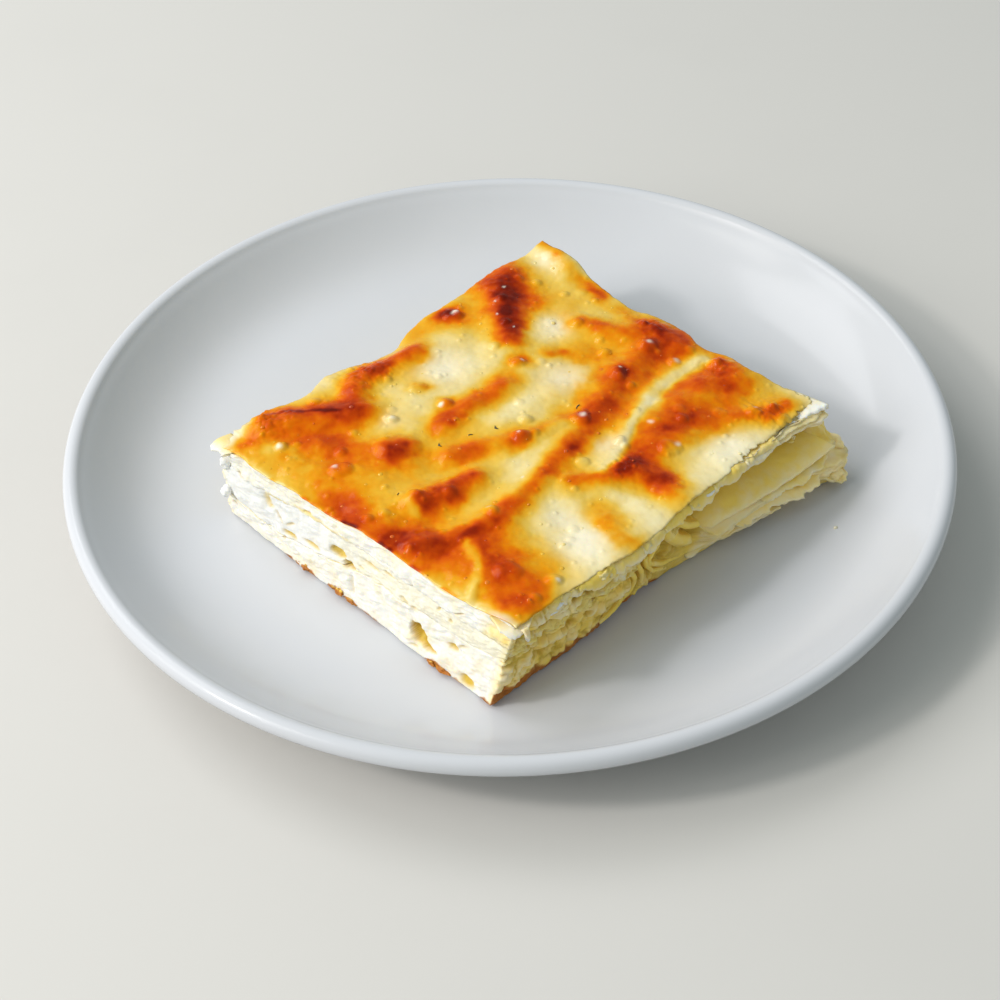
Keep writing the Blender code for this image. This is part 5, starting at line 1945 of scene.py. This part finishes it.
make_bubbles()
make_herb_flecks()
for crumb in CRUMBS:
    make_crumb(*crumb)

# ---------------------------------------------------------------- table, light and camera
# A pale matt table top and a bright room: one large soft window with a brighter pane to
# the left of the slice, a weaker one behind it, and pale walls all round.

TABLE_SIZE = 3.0
TABLE_COLOUR = (0.62, 0.60, 0.57, 1.0)
WALL_COLOUR, WALL_STRENGTH = (0.89, 1.0, 1.0, 1.0), 0.45

table_mesh = bpy.data.meshes.new("table_top")
half = TABLE_SIZE / 2
table_mesh.from_pydata(
    [(-half, -half, 0), (half, -half, 0), (half, half, 0), (-half, half, 0)], [], [(0, 1, 2, 3)]
)
table = bpy.data.objects.new("table_top", table_mesh)
bpy.context.scene.collection.objects.link(table)
material, tree, shader, place = new_material("matt table")
tone = calculate(tree, "MULTIPLY_ADD", soft_noise(tree, place, 14.0, 4.0), 0.06, 0.97)
tone = mix_colours(tree, tone, (0, 0, 0, 1), TABLE_COLOUR)
feed(tree, shader, {"Base Color": tone, "Roughness": 0.8})
table_mesh.materials.append(material)

room = bpy.data.worlds.new("pale room")
room.use_nodes = True
wall_light = {"Color": WALL_COLOUR, "Strength": WALL_STRENGTH}
feed(room.node_tree, room.node_tree.nodes["Background"], wall_light)
bpy.context.scene.world = room


def soft_window(name, towards, distance, size, power, colour):
    """A square soft light, seen from the slice in a direction."""
    light = bpy.data.lights.new(name, "AREA")
    light.shape = "RECTANGLE"
    light.size, light.size_y = size
    light.energy = power
    light.color = colour
    lamp = bpy.data.objects.new(name, light)
    bpy.context.scene.collection.objects.link(lamp)
    place = Vector(towards).normalized() * distance
    lamp.matrix_world = Matrix.Translation(place) @ place.to_track_quat("Z", "Y").to_matrix().to_4x4()


soft_window("left window", (-27.0, 12.5, 22.0), 1.1, (0.66, 0.66), 6.2, (1.0, 0.975, 0.945))
soft_window("bright pane", (-26.0, 12.0, 23.0), 1.5, (0.17, 0.17), 6.4, (1.0, 0.97, 0.935))
soft_window("back window", (-0.12, 0.66, 0.74), 1.5, (0.9, 0.7), 8.6, (0.98, 0.98, 1.0))

CAMERA_ELEVATION = math.radians(42.769)
CAMERA_HEADING = math.radians(44.3)
CAMERA_ROLL = math.radians(-1.702)
CAMERA_DISTANCE = 0.5069
CAMERA_TARGET = Vector((-0.00557, -0.00203, 0.0))
CAMERA_LENS = 72.0

level = math.cos(CAMERA_ELEVATION)
forward = Vector(
    (math.sin(CAMERA_HEADING) * level, math.cos(CAMERA_HEADING) * level, -math.sin(CAMERA_ELEVATION))
)
across = Vector((math.cos(CAMERA_HEADING), -math.sin(CAMERA_HEADING), 0.0))
upward = across.cross(forward)
right = across * math.cos(CAMERA_ROLL) + upward * math.sin(CAMERA_ROLL)
camera = bpy.data.objects.new("camera", bpy.data.cameras.new("camera"))
camera.data.lens = CAMERA_LENS
camera.data.sensor_width = 36.0
camera.data.clip_start = 0.01
camera.matrix_world = Matrix((right, right.cross(forward), -forward)).transposed().to_4x4()
camera.matrix_world.translation = CAMERA_TARGET - forward * CAMERA_DISTANCE
bpy.context.scene.collection.objects.link(camera)
bpy.context.scene.camera = camera
bpy.context.scene.view_settings.view_transform = "Standard"

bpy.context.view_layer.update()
